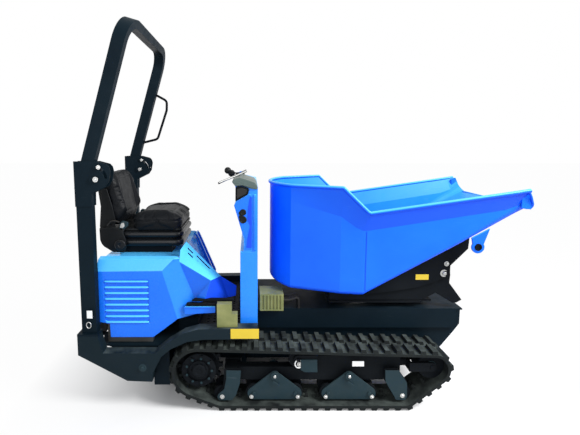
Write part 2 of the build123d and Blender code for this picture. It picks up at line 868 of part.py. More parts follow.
# Grab handle on the left leg
handle_points = spread(handle_shares, handle_x, handle_low_z, handle_length, handle_height)
with BuildPart() as handle:
    with BuildLine(Plane.XZ.offset(-handle_y)):
        FilletPolyline(*handle_points, radius=handle_bend_r)
    start = Vector(handle_points[0][0], handle_points[0][1])
    after = Vector(handle_points[1][0], handle_points[1][1])
    run = after - start
    with BuildSketch(Plane(origin=(start.X, handle_y, start.Y), x_dir=(0, 1, 0), z_dir=(run.X, 0, run.Y))):
        Circle(handle_r)
    sweep()
    add(arch.part, mode=Mode.SUBTRACT)
save(handle, "grab_handle")

with BuildPart() as arch_inside:
    with BuildLine(arch_plane):
        FilletPolyline(
            (-post_y, arch_foot_share * leg_run), (-post_y, leg_run), (post_y, leg_run),
            (post_y, arch_foot_share * leg_run), radius=arch_bend_r,
        )
    inside_origin = arch_plane.from_local_coords(Vector(-post_y, arch_foot_share * leg_run, 0))
    with BuildSketch(Plane(origin=inside_origin, x_dir=(0, 1, 0), z_dir=(sin(lean), 0, cos(lean)))):
        Rectangle(arch_width - arch_wall * 2, arch_depth - arch_wall * 2)
    sweep()
with arch:
    add(arch_inside.part, mode=Mode.SUBTRACT)
save(arch, "roll_bar_arch")


# Engine hood: a shell with sloping shoulders, louvres on its right side and hinge knuckles
def hood_body(inset, mode):
    outline = spread(hood_shares, hood_rear_x, hood_bottom_z, hood_length, hood_top_z - hood_bottom_z)
    with BuildPart(mode=Mode.PRIVATE) as form:
        with BuildSketch(Plane.XZ.offset(-hood_half)) as flank:
            with BuildLine():
                Polyline(*outline, close=True)
            make_face()
            if inset:
                offset(amount=-inset, kind=Kind.INTERSECTION)
        extrude(amount=hood_half * 2)
        half = hood_half - inset
        with BuildSketch(Plane.YZ.offset(hood_rear_x)):
            with BuildLine():
                Polyline(
                    (-half, hood_bottom_z), (-half, hood_shoulder_z - inset), (-hood_top_half, hood_top_z - inset),
                    (hood_top_half, hood_top_z - inset), (half, hood_shoulder_z - inset), (half, hood_bottom_z),
                    close=True,
                )
            make_face()
        extrude(amount=hood_length, mode=Mode.INTERSECT)
    add(form.part, mode=mode)


with BuildPart() as hood:
    hood_body(0, Mode.ADD)
    hood_body(hood_sheet, Mode.SUBTRACT)
    slab(
        hood_rear_x + hood_sheet, hood_rear_x + hood_length - hood_sheet, -hood_half + hood_sheet,
        hood_half - hood_sheet, hood_bottom_z - cut_over, hood_bottom_z + hood_length / 4, mode=Mode.SUBTRACT,
    )
    for row in range(louvre_count):
        z = louvre_top_z - row * louvre_pitch
        with BuildSketch(Plane.YZ.offset(louvre_x - louvre_length / 2)):
            with BuildLine():
                Polyline(
                    (-hood_half, z), (-hood_half - louvre_stand, z - louvre_height),
                    (-hood_half, z - louvre_height), close=True,
                )
            make_face()
        extrude(amount=louvre_length)
    for side in (-1, 1):
        low, high = across(side, hinge_near_y + seat_gap, hinge_far_y - seat_gap)
        round_y(hinge_x, hinge_z, hinge_r, low, high)
        slab(hinge_x - hinge_leaf, hinge_x, low, high, hood_shoulder_z, hinge_z)
        round_y(hinge_x, hinge_z, hinge_pin_r + running_fit, low, high, mode=Mode.SUBTRACT)
save(hood, "hood")

# Side cowl by the right leg, standing on the floor
with BuildPart() as cowl:
    cowl_length = cowl_front_x - cowl_rear_x
    low_outline = spread(cowl_low_shares, cowl_rear_x, cowl_bottom_z, cowl_length, cowl_height)
    high_outline = spread(cowl_high_shares, cowl_rear_x, cowl_bottom_z, cowl_length, cowl_height)
    side_plate(low_outline, -cowl_out, -cowl_step)
    side_plate(high_outline, -cowl_step, -cowl_in)
    slab(
        floor_rear_x + thin_plate + free_gap, cowl_leg_front_x, floor_near_y, floor_near_y + plate,
        floor_frame_z + floor_sheet, cowl_bottom_z + plate * 4,
    )
    slab(
        cowl_rear_x, hinge_x + hinge_r + free_gap, -hinge_far_y, -hinge_near_y,
        hinge_z - hinge_leaf, hinge_z + hinge_leaf, mode=Mode.SUBTRACT,
    )
    for low, high in ((-hinge_far_y - hinge_ear, -hinge_far_y), (-hinge_near_y, -hinge_near_y + hinge_ear)):
        round_y(hinge_x, hinge_z, hinge_r, low, high)
        slab(hinge_x, hinge_x + hinge_leaf, low, high, hinge_z - hinge_r, hinge_z)
    round_y(hinge_x, hinge_z, hinge_pin_r, -hinge_far_y - hinge_ear, -hinge_near_y + hinge_ear)
save(cowl, "side_cowl")

# Engine on its feet, with a shaft that carries the fan
with BuildPart() as engine:
    slab(engine_rear_x, engine_front_x, engine_near_y, engine_far_y, engine_deck_z + engine_foot, engine_top_z)
    slab(
        engine_rear_x + engine_foot, engine_front_x - engine_foot, engine_near_y + engine_foot,
        engine_far_y - engine_foot, engine_top_z, cylinder_head_z,
    )
    for x in (engine_rear_x + engine_foot, engine_front_x - engine_foot):
        for y in (engine_near_y + engine_foot, engine_far_y - engine_foot):
            round_z(x, y, engine_foot / 2, engine_deck_z, engine_deck_z + engine_foot)
    round_y(fan_x, fan_z, fan_shaft_r, fan_y - fan_depth / 2, engine_near_y)
save(engine, "engine")

with BuildPart() as fan:
    low, high = fan_y - fan_depth / 2, fan_y + fan_depth / 2
    round_y(fan_x, fan_z, fan_hub_r, low, high)
    for step in range(fan_blades):
        turn = 360 * step / fan_blades
        middle = (fan_r + fan_hub_r) / 2
        x = fan_x + middle * cos(radians(turn))
        z = fan_z + middle * sin(radians(turn))
        with Locations(Location((x, fan_y, z), (0, -turn, 0)) * Location((0, 0, 0), (fan_pitch_deg, 0, 0))):
            Box(fan_r - fan_hub_r + fan_blade, fan_blade / 2, fan_hub_r)
    round_y(fan_x, fan_z, fan_shaft_r + running_fit, low - fan_r, high + fan_r, mode=Mode.SUBTRACT)
save(fan, "cooling_fan")

with BuildPart() as radiator:
    x0 = fan_x - radiator_length / 2
    x1 = fan_x + radiator_length / 2
    near, far = radiator_y - radiator_depth / 2, radiator_y + radiator_depth / 2
    slab(x0, x1, near, far, engine_deck_z, engine_deck_z + radiator_height * 1.4)
    slab(
        x0 + radiator_core, x1 - radiator_core, near, near + thin_plate,
        engine_deck_z + radiator_core * 4, engine_deck_z + radiator_height * 1.4 - radiator_core, mode=Mode.SUBTRACT,
    )
save(radiator, "radiator")

with BuildPart() as tank:
    slab(engine_rear_x, engine_front_x, tank_near_y, tank_far_y, engine_deck_z, tank_top_z)
    fillet(tank.edges().filter_by(Axis.Z), radius=tank_neck_r / 2)
    round_z((engine_rear_x + engine_front_x) / 2, (tank_near_y + tank_far_y) / 2, tank_neck_r, tank_top_z, tank_top_z + tank_neck)
save(tank, "fuel_tank")

# Hydraulic valves: a finned bank on the deck and a block on the right sill
with BuildPart() as valves:
    bank_length = valve_bank_front_x - valve_bank_rear_x
    near = valve_bank_y - valve_bank_width / 2
    far = valve_bank_y + valve_bank_width / 2
    slab(valve_bank_rear_x, valve_bank_front_x, near, far, deck_z, deck_z + valve_bank_height)
    fin_pitch = bank_length / valve_bank_fins
    for step in range(1, valve_bank_fins):
        x = valve_bank_rear_x + step * fin_pitch
        gap = fin_pitch * fin_gap_share / 2
        for y0, y1 in ((near, near + gap * 2), (far - gap * 2, far)):
            slab(x - gap, x + gap, y0, y1, deck_z + plate, deck_z + valve_bank_height - plate, mode=Mode.SUBTRACT)
    block_y = (brake_valve_y, brake_valve_y + brake_valve_width)
    slab(
        brake_valve_rear_x, brake_valve_rear_x + brake_valve_length, *block_y, sill_top_z - sheet,
        sill_top_z + brake_valve_height,
    )
    side_plate(skirt_outline, -skirt_out, -skirt_in, mode=Mode.SUBTRACT)
    slab(
        brake_valve_rear_x, brake_valve_rear_x + brake_valve_length * brake_valve_top_share, *block_y,
        sill_top_z + brake_valve_height, sill_top_z + brake_valve_height + brake_valve_top,
    )
save(valves, "hydraulic_valves")

# Hoses from the valve bank down to the deck
with BuildPart() as hoses:
    for step in range(hose_count):
        y = valve_bank_y + (step - (hose_count - 1) / 2) * hose_spacing
        z = deck_z + valve_bank_height / 2
        with BuildLine(Plane.XZ.offset(-y)):
            FilletPolyline(
                (valve_bank_front_x, z), (valve_bank_front_x + hose_rise, z),
                (valve_bank_front_x + hose_reach, z + hose_rise / 2), (valve_bank_front_x + hose_reach, deck_z),
                radius=hose_bend_r / 2,
            )
        with BuildSketch(Plane.YZ.offset(valve_bank_front_x)):
            with Locations((y, z)):
                Circle(hose_r)
        sweep()
save(hoses, "hydraulic_hoses")

# Seat: base on the hood, rubber bellows, pan, cushion and backrest
with BuildPart() as seat_base:
    slab(
        seat_base_rear_x, seat_base_rear_x + seat_base_length, -seat_base_half, seat_base_half,
        hood_top_z, hood_top_z + seat_base_height,
    )
save(seat_base, "seat_base")

bellows_z = hood_top_z + seat_base_height
bellows_mid_x = bellows_rear_x + bellows_length / 2
with BuildPart() as bellows:
    for fold in range(2):
        low = bellows_z + fold * bellows_fold
        with BuildSketch(Plane.XY.offset(low)):
            with Locations((bellows_mid_x, 0)):
                RectangleRounded(bellows_length, bellows_half * 2, bellows_corner)
        extrude(amount=bellows_fold)
    with BuildSketch(Plane.XY.offset(bellows_z + bellows_fold - bellows_round / 2)):
        with Locations((bellows_mid_x, 0)):
            RectangleRounded(bellows_length + cut_over, bellows_half * 2 + cut_over, bellows_corner)
            RectangleRounded(
                bellows_length - bellows_round, bellows_half * 2 - bellows_round, bellows_corner - bellows_round / 2,
                mode=Mode.SUBTRACT,
            )
    extrude(amount=bellows_round, mode=Mode.SUBTRACT)
save(bellows, "seat_bellows")

pan_z = bellows_z + bellows_fold * 2
with BuildPart() as pan:
    with BuildSketch(Plane.XY.offset(pan_z)):
        with Locations((bellows_mid_x, 0)):
            RectangleRounded(bellows_length - bellows_round, bellows_half * 2 - bellows_round, bellows_corner / 2)
    extrude(amount=pan_height)
    for side in (-1, 1):
        low, high = across(side, back_half + free_gap, back_half + free_gap + recline_ear)
        slab(back_x - plate * 3, back_x + plate * 3, low, high, pan_z, recline_z + plate * 3)
        reach = across(side, 0, back_half + free_gap + recline_ear)
        slab(back_x - plate * 3, back_x + bellows_corner, *reach, pan_z, pan_z + pan_height)
        round_y(back_x, recline_z, recline_pin_r + running_fit, low, high, mode=Mode.SUBTRACT)
save(pan, "seat_pan")

cushion_z = pan_z + pan_height
cushion_mid_x = cushion_rear_x + cushion_length / 2
with BuildPart() as cushion:
    for rise_share, inset_share in cushion_shares:
        inset = inset_share * cushion_half
        with BuildSketch(Plane.XY.offset(cushion_z + rise_share * cushion_height)):
            with Locations((cushion_mid_x, 0)):
                RectangleRounded(cushion_length - inset, cushion_half * 2 - inset * 2, cushion_corner)
    loft()
save(cushion, "seat_cushion")

tilt = radians(back_lean_deg)
back_up = Vector(-sin(tilt), 0, cos(tilt))
back_front = Vector(cos(tilt), 0, sin(tilt))
back_foot = Vector(back_x - back_depth / 2, 0, back_z)
with BuildPart() as backrest:
    for depth_share, inset_share in back_shares:
        inset = inset_share * back_half
        origin = back_foot + back_up * (back_height / 2) + back_front * (depth_share * back_depth)
        with BuildSketch(Plane(origin=origin, x_dir=(0, 1, 0), z_dir=back_front)):
            RectangleRounded(back_half * 2 - inset, back_height - inset, back_corner - inset / 2)
    loft()
    hub_low = back_z + plate * 4
    slab(back_x - plate * 2, back_x + plate * 2, -back_half + recline_ear, back_half - recline_ear, recline_z - plate * 2, hub_low)
    round_y(back_x, recline_z, recline_pin_r, -back_half - free_gap - recline_ear, back_half + free_gap + recline_ear)
save(backrest, "backrest")

# Control column and head
with BuildPart() as column:
    slab(column_rear_x, column_front_x, column_near_y, column_far_y, floor_top_z, column_top_z)
    slab(
        column_rear_x + column_wall, column_front_x - column_wall, column_near_y + column_wall,
        column_far_y - column_wall, floor_top_z, column_top_z - column_wall, mode=Mode.SUBTRACT,
    )
save(column, "control_column")

head_outline = spread(head_shares, head_rear_x, column_top_z, head_length, head_height)
with BuildPart() as head:
    side_plate(head_outline, column_near_y, column_far_y)
    for y in lever_y:
        for side in (-1, 1):
            low, high = across(side, lever_hub / 2 + seat_gap, lever_hub / 2 + seat_gap + lever_ear)
            slab(
                lever_pivot_x - lever_hub_r, lever_pivot_x + lever_hub_r, y + low, y + high,
                lever_pivot_z - lever_hub_r * 4, lever_pivot_z + lever_hub_r,
            )
        round_y(lever_pivot_x, lever_pivot_z, lever_pin_r, y - lever_hub, y + lever_hub)
        slab(
            head_rear_x - cut_over, lever_pivot_x + lever_hub_r * 1.5, y - lever_hub / 2 - seat_gap,
            y + lever_hub / 2 + seat_gap, lever_pivot_z - lever_hub_r * 3, lever_pivot_z - lever_pin_r, mode=Mode.SUBTRACT,
        )
        slab(
            lever_pivot_x - lever_hub_r * 1.2, lever_pivot_x + lever_hub_r * 1.5, y - lever_hub / 2 - seat_gap,
            y + lever_hub / 2 + seat_gap, lever_pivot_z - lever_hub_r * 3, lever_pivot_z + lever_hub_r * 2, mode=Mode.SUBTRACT,
        )
        round_y(lever_pivot_x, lever_pivot_z, lever_pin_r, y - lever_hub, y + lever_hub)
    pocket = (column_near_y, column_near_y + switch_depth + thin_plate)
    for end in (-1, 1):
        round_y(switch_x, switch_z + end * switch_apart / 2, switch_r + free_gap / 2, *pocket, mode=Mode.SUBTRACT)
    slab(
        switch_x - switch_r / 2 - free_gap / 2, switch_x + switch_r / 2 + free_gap / 2, *pocket,
        switch_z - switch_apart / 2, switch_z + switch_apart / 2, mode=Mode.SUBTRACT,
    )
    with BuildSketch(Plane.YZ.offset(switch_x - switch_r / 2 - free_gap)):
        with Locations((column_near_y + switch_depth, switch_z)):
            Circle(lever_pin_r / 2)
    extrude(amount=switch_r + free_gap * 2)
save(head, "control_head")

with BuildPart() as switch:
    face = (column_near_y - switch_proud, column_near_y + switch_depth + lever_pin_r)
    for end in (-1, 1):
        round_y(switch_x, switch_z + end * switch_apart / 2, switch_r, face[0], column_near_y + switch_depth)
    slab(
        switch_x - switch_r / 2, switch_x + switch_r / 2, *face, switch_z - switch_apart / 2,
        switch_z + switch_apart / 2,
    )
    with BuildSketch(Plane.YZ.offset(switch_x - switch_r)):
        with Locations((column_near_y + switch_depth, switch_z)):
            Circle(lever_pin_r / 2 + running_fit)
    extrude(amount=switch_r * 2, mode=Mode.SUBTRACT)
save(switch, "rocker_switch")

with BuildPart() as rest:
    rise = Vector(rest_front_x - rest_rear_x, 0, rest_front_z - rest_rear_z)
    with BuildSketch(Plane(origin=(rest_rear_x, rest_y, rest_rear_z), x_dir=(0, 1, 0), z_dir=rise)):
        Circle(rest_r)
    extrude(amount=rise.length)
    slab(
        rest_front_x - rest_r * 5, rest_front_x - rest_r * 2, rest_y - rest_r, rest_y + rest_r,
        head_top_z - rest_r * 6, rest_front_z - rest_r * 2,
    )
    side_plate(head_outline, column_near_y, column_far_y, mode=Mode.SUBTRACT)
save(rest, "hand_rest")

knob_offsets = ((right_knob_dx, right_knob_dz), (left_knob_dx, left_knob_dz))
for name, y, (dx, dz) in zip(("right", "left"), lever_y, knob_offsets):
    with BuildPart() as lever:
        arm = Vector(dx, 0, dz)
        along = Plane(origin=(lever_pivot_x, y, lever_pivot_z), x_dir=arm, z_dir=(0, 1, 0))
        neck = (knob_r ** 2 - lever_rod_r ** 2) ** 0.5
        with BuildSketch(along):
            with BuildLine():
                Polyline((0, 0), (0, lever_rod_r), (arm.length - neck, lever_rod_r))
                ThreePointArc((arm.length - neck, lever_rod_r), (arm.length, knob_r), (arm.length + knob_r, 0))
                Line((arm.length + knob_r, 0), (0, 0))
            make_face()
        revolve(axis=Axis((lever_pivot_x, y, lever_pivot_z), arm))
        round_y(lever_pivot_x, lever_pivot_z, lever_hub_r, y - lever_hub / 2, y + lever_hub / 2)
        round_y(
            lever_pivot_x, lever_pivot_z, lever_pin_r + running_fit, y - lever_hub, y + lever_hub, mode=Mode.SUBTRACT,
        )
    save(lever, f"{name}_travel_lever")

# Slewing ring on the deck
with BuildPart() as slew_ring:
    round_z(slew_x, 0, slew_out_r, deck_z, deck_z + slew_height)
    round_z(slew_x, 0, slew_in_r, deck_z, deck_z + slew_height, mode=Mode.SUBTRACT)
save(slew_ring, "slew_ring")

# Turntable: plate, spigot in the ring, side arms with the tipping pins, rest pads, ram bracket
arm_outline = spread(arm_shares, table_rear_x, table_z, arm_length, arm_height)
with BuildPart() as turntable:
    slab(table_rear_x, table_front_x, -table_half, table_half, table_z, table_z + table_plate)
    round_z(slew_x, 0, slew_in_r - running_fit, deck_z + seat_gap, table_z)
    for side in (-1, 1):
        low, high = across(side, table_half, arm_out)
        slab(table_rear_x, table_front_x - plate * 8, low, high, table_z, table_z + table_plate)
        low, high = across(side, arm_in, arm_out)
        side_plate(arm_outline, low, high)
        round_y(tip_x, tip_z, tip_boss_r, low, high)
        low, high = across(side, arm_in, under_out + plate)
        round_y(tip_x, tip_z, tip_pin_r, low, high)
        low, high = across(side, arm_in - rest_pad, arm_in)
        slab(rest_pad_x - rest_pad, rest_pad_x, low, high, table_z + table_plate, skip_floor_z - seat_gap)
        low, high = across(side, ram_eye_half + seat_gap, ram_eye_half + seat_gap + plate)
        slab(ram_base_x - rest_pad, ram_base_x + rest_pad / 2, low, high, table_z + table_plate, ram_base_z + ram_pin_r * 1.5)
    round_y(ram_base_x, ram_base_z, ram_pin_r, -ram_eye_half - plate, ram_eye_half + plate)
save(turntable, "turntable")


# Skip: a rolled and folded tub with a flared rim, tube edge and chute
def skip_block(inset, mode, top):
    """The tub inside its wall lines, open or closed at the top."""
    flank = [
        (skip_rear_x + inset, skip_floor_z + inset), (skip_chine_x, skip_floor_z + inset),
        (skip_lip_x, skip_chute_z + inset + (skip_lip_x - skip_chute_x) * chute_slope),
        (skip_lip_x, skip_lip_low_z + top), (skip_notch_x, skip_fold_notch_z + top),
        (skip_knuckle_x, skip_fold_rear_z + top), (skip_knuckle_x, skip_rear_rim_z + top),
        (skip_rear_x + inset, skip_rear_rim_z + top),
    ]
    with BuildPart(mode=Mode.PRIVATE) as form:
        with BuildSketch(Plane.XZ.offset(-skip_half)):
            with BuildLine():
                Polyline(*flank, close=True)
            make_face()
        extrude(amount=skip_half * 2)
        half = skip_half - inset
        knuckle_y = skip_knuckle_y - inset
        shoulder_y = skip_shoulder_y - inset
        with BuildSketch(Plane.XY.offset(skip_floor_z - skip_sheet)):
            with BuildLine():
                ThreePointArc(
                    (skip_shoulder_x + inset / 2, -shoulder_y), (skip_rear_x + inset, 0),
                    (skip_shoulder_x + inset / 2, shoulder_y),
                )
                Polyline(
                    (skip_shoulder_x + inset / 2, shoulder_y), (skip_knuckle_x, knuckle_y), (skip_chine_x, half),
                    (skip_lip_x, half), (skip_lip_x, -half), (skip_chine_x, -half), (skip_knuckle_x, -knuckle_y),
                    (skip_shoulder_x + inset / 2, -shoulder_y),
                )
            make_face()
        extrude(amount=skip_rear_rim_z * 2, both=True, mode=Mode.INTERSECT)
    add(form.part, mode=mode)


def rim_runs(points):
    """A round edge along straight runs, each a little past its corners."""
    for start, end in zip(points, points[1:]):
        run = Vector(*end) - Vector(*start)
        first = Vector(*start) - run.normalized() * (skip_tube_r / 2)
        with BuildSketch(Plane(origin=first, z_dir=run)) as ring:
            Circle(skip_tube_r)
        extrude(ring.sketch, amount=run.length + skip_tube_r)


chute_slope = (skip_chute_z - skip_floor_z) / (skip_chute_x - skip_chine_x)
with BuildPart() as tub:
    skip_block(0, Mode.ADD, 0)
    skip_block(skip_sheet, Mode.SUBTRACT, skip_rear_rim_z)
    for side in (-1, 1):
        for x0, fold0, rim0, y0, x1, fold1, rim1, y1 in (
            (skip_notch_x, skip_fold_notch_z, skip_notch_z, skip_half,
             skip_lip_x, skip_lip_low_z, skip_lip_top_z, skip_half),
            (skip_knuckle_x, skip_fold_rear_z, skip_rear_rim_z, skip_knuckle_y,
             skip_notch_x, skip_fold_notch_z, skip_notch_z, skip_half),
        ):
            for x, fold_level, rim_level, wall_y in ((x0, fold0, rim0, y0), (x1, fold1, rim1, y1)):
                with BuildSketch(Plane.YZ.offset(x)):
                    with BuildLine():
                        Polyline(
                            (side * wall_y, fold_level), (side * (wall_y - skip_sheet), fold_level),
                            (side * (skip_rim_half - skip_sheet), rim_level), (side * skip_rim_half, rim_level),
                            close=True,
                        )
                    make_face()
            loft(ruled=True)
        low, high = across(side, skip_lug_y, skip_lug_y + skip_lug)
        round_y(skip_lug_x, skip_lug_z, skip_lug_r, low, high)
        slab(skip_lug_x - skip_lug_r, skip_lug_x + skip_lug_r, low, high, skip_lug_z, skip_lug_z + skip_lug_r * 2.2)
        round_y(skip_lug_x, skip_lug_z, skip_lug_hole_r, low, high, mode=Mode.SUBTRACT)
arc_rise = skip_shoulder_x - skip_rear_x
arc_r = (arc_rise ** 2 + skip_shoulder_y ** 2) / (arc_rise * 2)
with BuildPart() as rim:
    for side in (-1, 1):
        edge_y = side * (skip_rim_half - skip_tube_r)
        rim_runs([
            (skip_shoulder_x, side * skip_shoulder_y, skip_rear_rim_z),
            (skip_knuckle_x, edge_y, skip_rear_rim_z),
            (skip_notch_x, edge_y, skip_notch_z),
            (skip_lip_x - skip_tube_r, edge_y, skip_lip_top_z),
        ])
    with BuildLine(Plane.XY.offset(skip_rear_rim_z)):
        ThreePointArc(
            (skip_shoulder_x, -skip_shoulder_y), (skip_rear_x, 0), (skip_shoulder_x, skip_shoulder_y),
        )
    arc_along = Vector(-skip_shoulder_y, skip_rear_x + arc_r - skip_shoulder_x, 0)
    with BuildSketch(Plane(origin=(skip_shoulder_x, -skip_shoulder_y, skip_rear_rim_z), z_dir=arc_along)):
        Circle(skip_tube_r)
    sweep()
with tub:
    add(rim.part)
    skip_block(skip_sheet, Mode.SUBTRACT, 0)
save(tub, "skip_tub")

# Skip underframe: two lobed side plates, cross tube and the ram lug
under_outline = spread(under_shares, under_rear_x, under_low_z, under_length, under_height)
with BuildPart() as underframe:
    for side in (-1, 1):
        low, high = across(side, under_in, under_out)
        side_plate(under_outline, low, high)
        round_y(tip_x, tip_z, tip_boss_r, low, high)
    tie_x = ram_eye_x + ram_eye_r + free_gap * 2
    tie_z = tip_z + tip_boss_r * 2
    slab(tie_x, tie_x + plate * 6, -under_in, under_in, tie_z, tie_z + plate * 3)
    for side in (-1, 1):
        low, high = across(side, ram_eye_half + seat_gap * 3, ram_eye_half + seat_gap * 3 + plate)
        slab(ram_eye_x - ram_pin_r * 2, tie_x + plate * 6, low, high, ram_eye_z - ram_pin_r * 2, tie_z + plate * 3)
    round_y(ram_eye_x, ram_eye_z, ram_pin_r, -ram_eye_half - plate, ram_eye_half + plate)
    add(tub.part, mode=Mode.SUBTRACT)
    for side in (-1, 1):
        low, high = across(side, under_in, under_out)
        round_y(tip_x, tip_z, tip_pin_r + running_fit, low, high, mode=Mode.SUBTRACT)
save(underframe, "skip_underframe")

# Tipping cylinder: barrel on the turntable, rod towards the underframe
ram_run = Vector(ram_eye_x - ram_base_x, 0, ram_eye_z - ram_base_z)
ram_dir = ram_run.normalized()
ram_base = Vector(ram_base_x, 0, ram_base_z)
barrel_start = ram_base + ram_dir * rest_pad
with BuildPart() as barrel:
    with BuildSketch(Plane(origin=barrel_start, x_dir=(0, 1, 0), z_dir=ram_dir)):
        Circle(barrel_r)
    extrude(amount=barrel_length)
    with BuildSketch(Plane(origin=ram_base, x_dir=(0, 1, 0), z_dir=ram_dir)):
        Rectangle(ram_eye_half * 2, barrel_tail_r)
    extrude(amount=rest_pad)
    round_y(ram_base_x, ram_base_z, barrel_tail_r, -ram_eye_half, ram_eye_half)
    with BuildSketch(Plane(origin=barrel_start + ram_dir * plate, x_dir=(0, 1, 0), z_dir=ram_dir)):
        Circle(ram_rod_r + running_fit)
    extrude(amount=barrel_length, mode=Mode.SUBTRACT)
    round_y(ram_base_x, ram_base_z, ram_pin_r + running_fit, -ram_eye_half, ram_eye_half, mode=Mode.SUBTRACT)
save(barrel, "cylinder_barrel")

with BuildPart() as rod:
    rod_start = barrel_start + ram_dir * (plate * 2)
    with BuildSketch(Plane(origin=rod_start, x_dir=(0, 1, 0), z_dir=ram_dir)):
        Circle(ram_rod_r)
    extrude(amount=ram_run.length - rest_pad - plate * 2)
    round_y(ram_eye_x, ram_eye_z, ram_eye_r, -ram_eye_half, ram_eye_half)
    round_y(ram_eye_x, ram_eye_z, ram_eye_bore_r, -ram_eye_r, ram_eye_r, mode=Mode.SUBTRACT)
save(rod, "cylinder_rod")
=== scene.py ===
# %% [markdown]
# # Tracked power carrier
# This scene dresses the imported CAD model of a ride-on mini dumper. The CAD gives every
# piece its size and place in metres, so a piece built here goes where the CAD says and
# rides on the CAD body that moves it.

import json
from math import atan2, cos, degrees, pi, radians, sin, sqrt

import bmesh
import bpy
from mathutils import Matrix, Vector, noise


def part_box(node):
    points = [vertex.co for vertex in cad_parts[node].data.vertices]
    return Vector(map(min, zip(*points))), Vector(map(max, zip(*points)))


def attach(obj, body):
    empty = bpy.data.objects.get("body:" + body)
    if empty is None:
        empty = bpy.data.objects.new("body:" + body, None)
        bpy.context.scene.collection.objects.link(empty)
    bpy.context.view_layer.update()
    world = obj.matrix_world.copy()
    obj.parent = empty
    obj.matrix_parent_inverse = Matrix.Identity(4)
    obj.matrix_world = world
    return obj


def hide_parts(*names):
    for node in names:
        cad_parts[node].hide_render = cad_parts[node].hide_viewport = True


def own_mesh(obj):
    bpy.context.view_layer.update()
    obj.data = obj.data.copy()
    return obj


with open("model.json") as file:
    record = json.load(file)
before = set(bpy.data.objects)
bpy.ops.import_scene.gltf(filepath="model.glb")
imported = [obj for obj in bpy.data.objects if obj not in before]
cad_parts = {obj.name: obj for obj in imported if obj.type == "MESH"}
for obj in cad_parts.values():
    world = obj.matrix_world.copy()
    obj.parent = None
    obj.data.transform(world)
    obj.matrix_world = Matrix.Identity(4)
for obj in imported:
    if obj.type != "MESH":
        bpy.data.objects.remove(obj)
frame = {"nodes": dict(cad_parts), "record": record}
nodes = frame["nodes"]
scene = bpy.context.scene
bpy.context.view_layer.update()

# %% [markdown]
# ## Camera
# The photograph is a side view from the right, taken from a little above and with the lens
# level turned 6 degrees down. The picture was cropped off centre, and a small lens shift
# does the same here without turning the camera.

# %% Camera
lens_data = bpy.data.cameras.new("photo_camera")
lens_data.sensor_width = 36
lens_data.lens = 380 * 36 / 580
lens_data.shift_x = 0.069
lens_data.shift_y = -0.0595
camera = bpy.data.objects.new("photo_camera", lens_data)
camera.location = (-0.357, -2.85, 1.734)
camera.rotation_euler = (radians(84), 0, 0)
scene.collection.objects.link(camera)
scene.camera = camera

# %% [markdown]
# ## Light
# Soft light from all round keeps every colour near its written value. One large lamp high
# in front of the machine and one low fill on the camera's side give the gentle shading of
# a bright overcast day. The world and floor are white only where the camera, a gloss or a
# clear material looks at them, so the white adds no diffuse light.

# %% World and lamps
scene.view_settings.view_transform = "Standard"
world = bpy.data.worlds.new("studio")
scene.world = world
world.use_nodes = True
tree = world.node_tree
tree.nodes.clear()
output = tree.nodes.new("ShaderNodeOutputWorld")
fill_light = tree.nodes.new("ShaderNodeBackground")
fill_light.inputs["Color"].default_value = (0.93, 0.96, 1, 1)
fill_light.inputs["Strength"].default_value = 0.55
white = tree.nodes.new("ShaderNodeBackground")
white.inputs["Color"].default_value = (1, 1, 1, 1)
white.inputs["Strength"].default_value = 1


def seen_directly(tree):
    """1 where the camera, a gloss or a clear material looks straight at a backdrop."""
    path = tree.nodes.new("ShaderNodeLightPath")
    seen = path.outputs["Is Camera Ray"]
    for ray in ("Is Glossy Ray", "Is Transmission Ray"):
        step = tree.nodes.new("ShaderNodeMath")
        step.operation = "MAXIMUM"
        tree.links.new(seen, step.inputs[0])
        tree.links.new(path.outputs[ray], step.inputs[1])
        seen = step.outputs[0]
    return seen


mix = tree.nodes.new("ShaderNodeMixShader")
tree.links.new(seen_directly(tree), mix.inputs[0])
tree.links.new(fill_light.outputs[0], mix.inputs[1])
tree.links.new(white.outputs[0], mix.inputs[2])
tree.links.new(mix.outputs[0], output.inputs["Surface"])


def area_lamp(name, place, target, size, power):
    data = bpy.data.lights.new(name, "AREA")
    data.shape = "DISK"
    data.size = size
    data.energy = power
    lamp = bpy.data.objects.new(name, data)
    lamp.location = place
    lamp.rotation_euler = (Vector(target) - Vector(place)).to_track_quat("-Z", "Y").to_euler()
    scene.collection.objects.link(lamp)


area_lamp("sky_key", (4.0, -2.4, 4.6), (0.2, 0, 0.9), 2.4, 520)
area_lamp("front_fill", (-1.5, -4.6, 2.2), (0, 0, 0.8), 3.0, 60)

# %% [markdown]
# ## Shared effects
# Several finishes need the same effects: dust that settles on what faces up (on the side
# skirts it also serves as a painted highlight), dried mud that is thicker near the ground,
# fine scratches, and a painted highlight that lightens blue paint where it faces the sky,
# with painted shade where it faces down. Each is a node group with its own inputs, so one
# place holds the recipe and each finish sets its own amount.


# %% Node group tools
def new_group(name, inputs, outputs):
    """An empty shader node group with float inputs {name: default} and named outputs."""
    group = bpy.data.node_groups.new(name, "ShaderNodeTree")
    for label, value in inputs.items():
        socket = group.interface.new_socket(name=label, in_out="INPUT", socket_type="NodeSocketFloat")
        socket.default_value = value
    for label in outputs:
        group.interface.new_socket(name=label, in_out="OUTPUT", socket_type="NodeSocketFloat")
    entry = group.nodes.new("NodeGroupInput")
    leave = group.nodes.new("NodeGroupOutput")
    return group, entry, leave


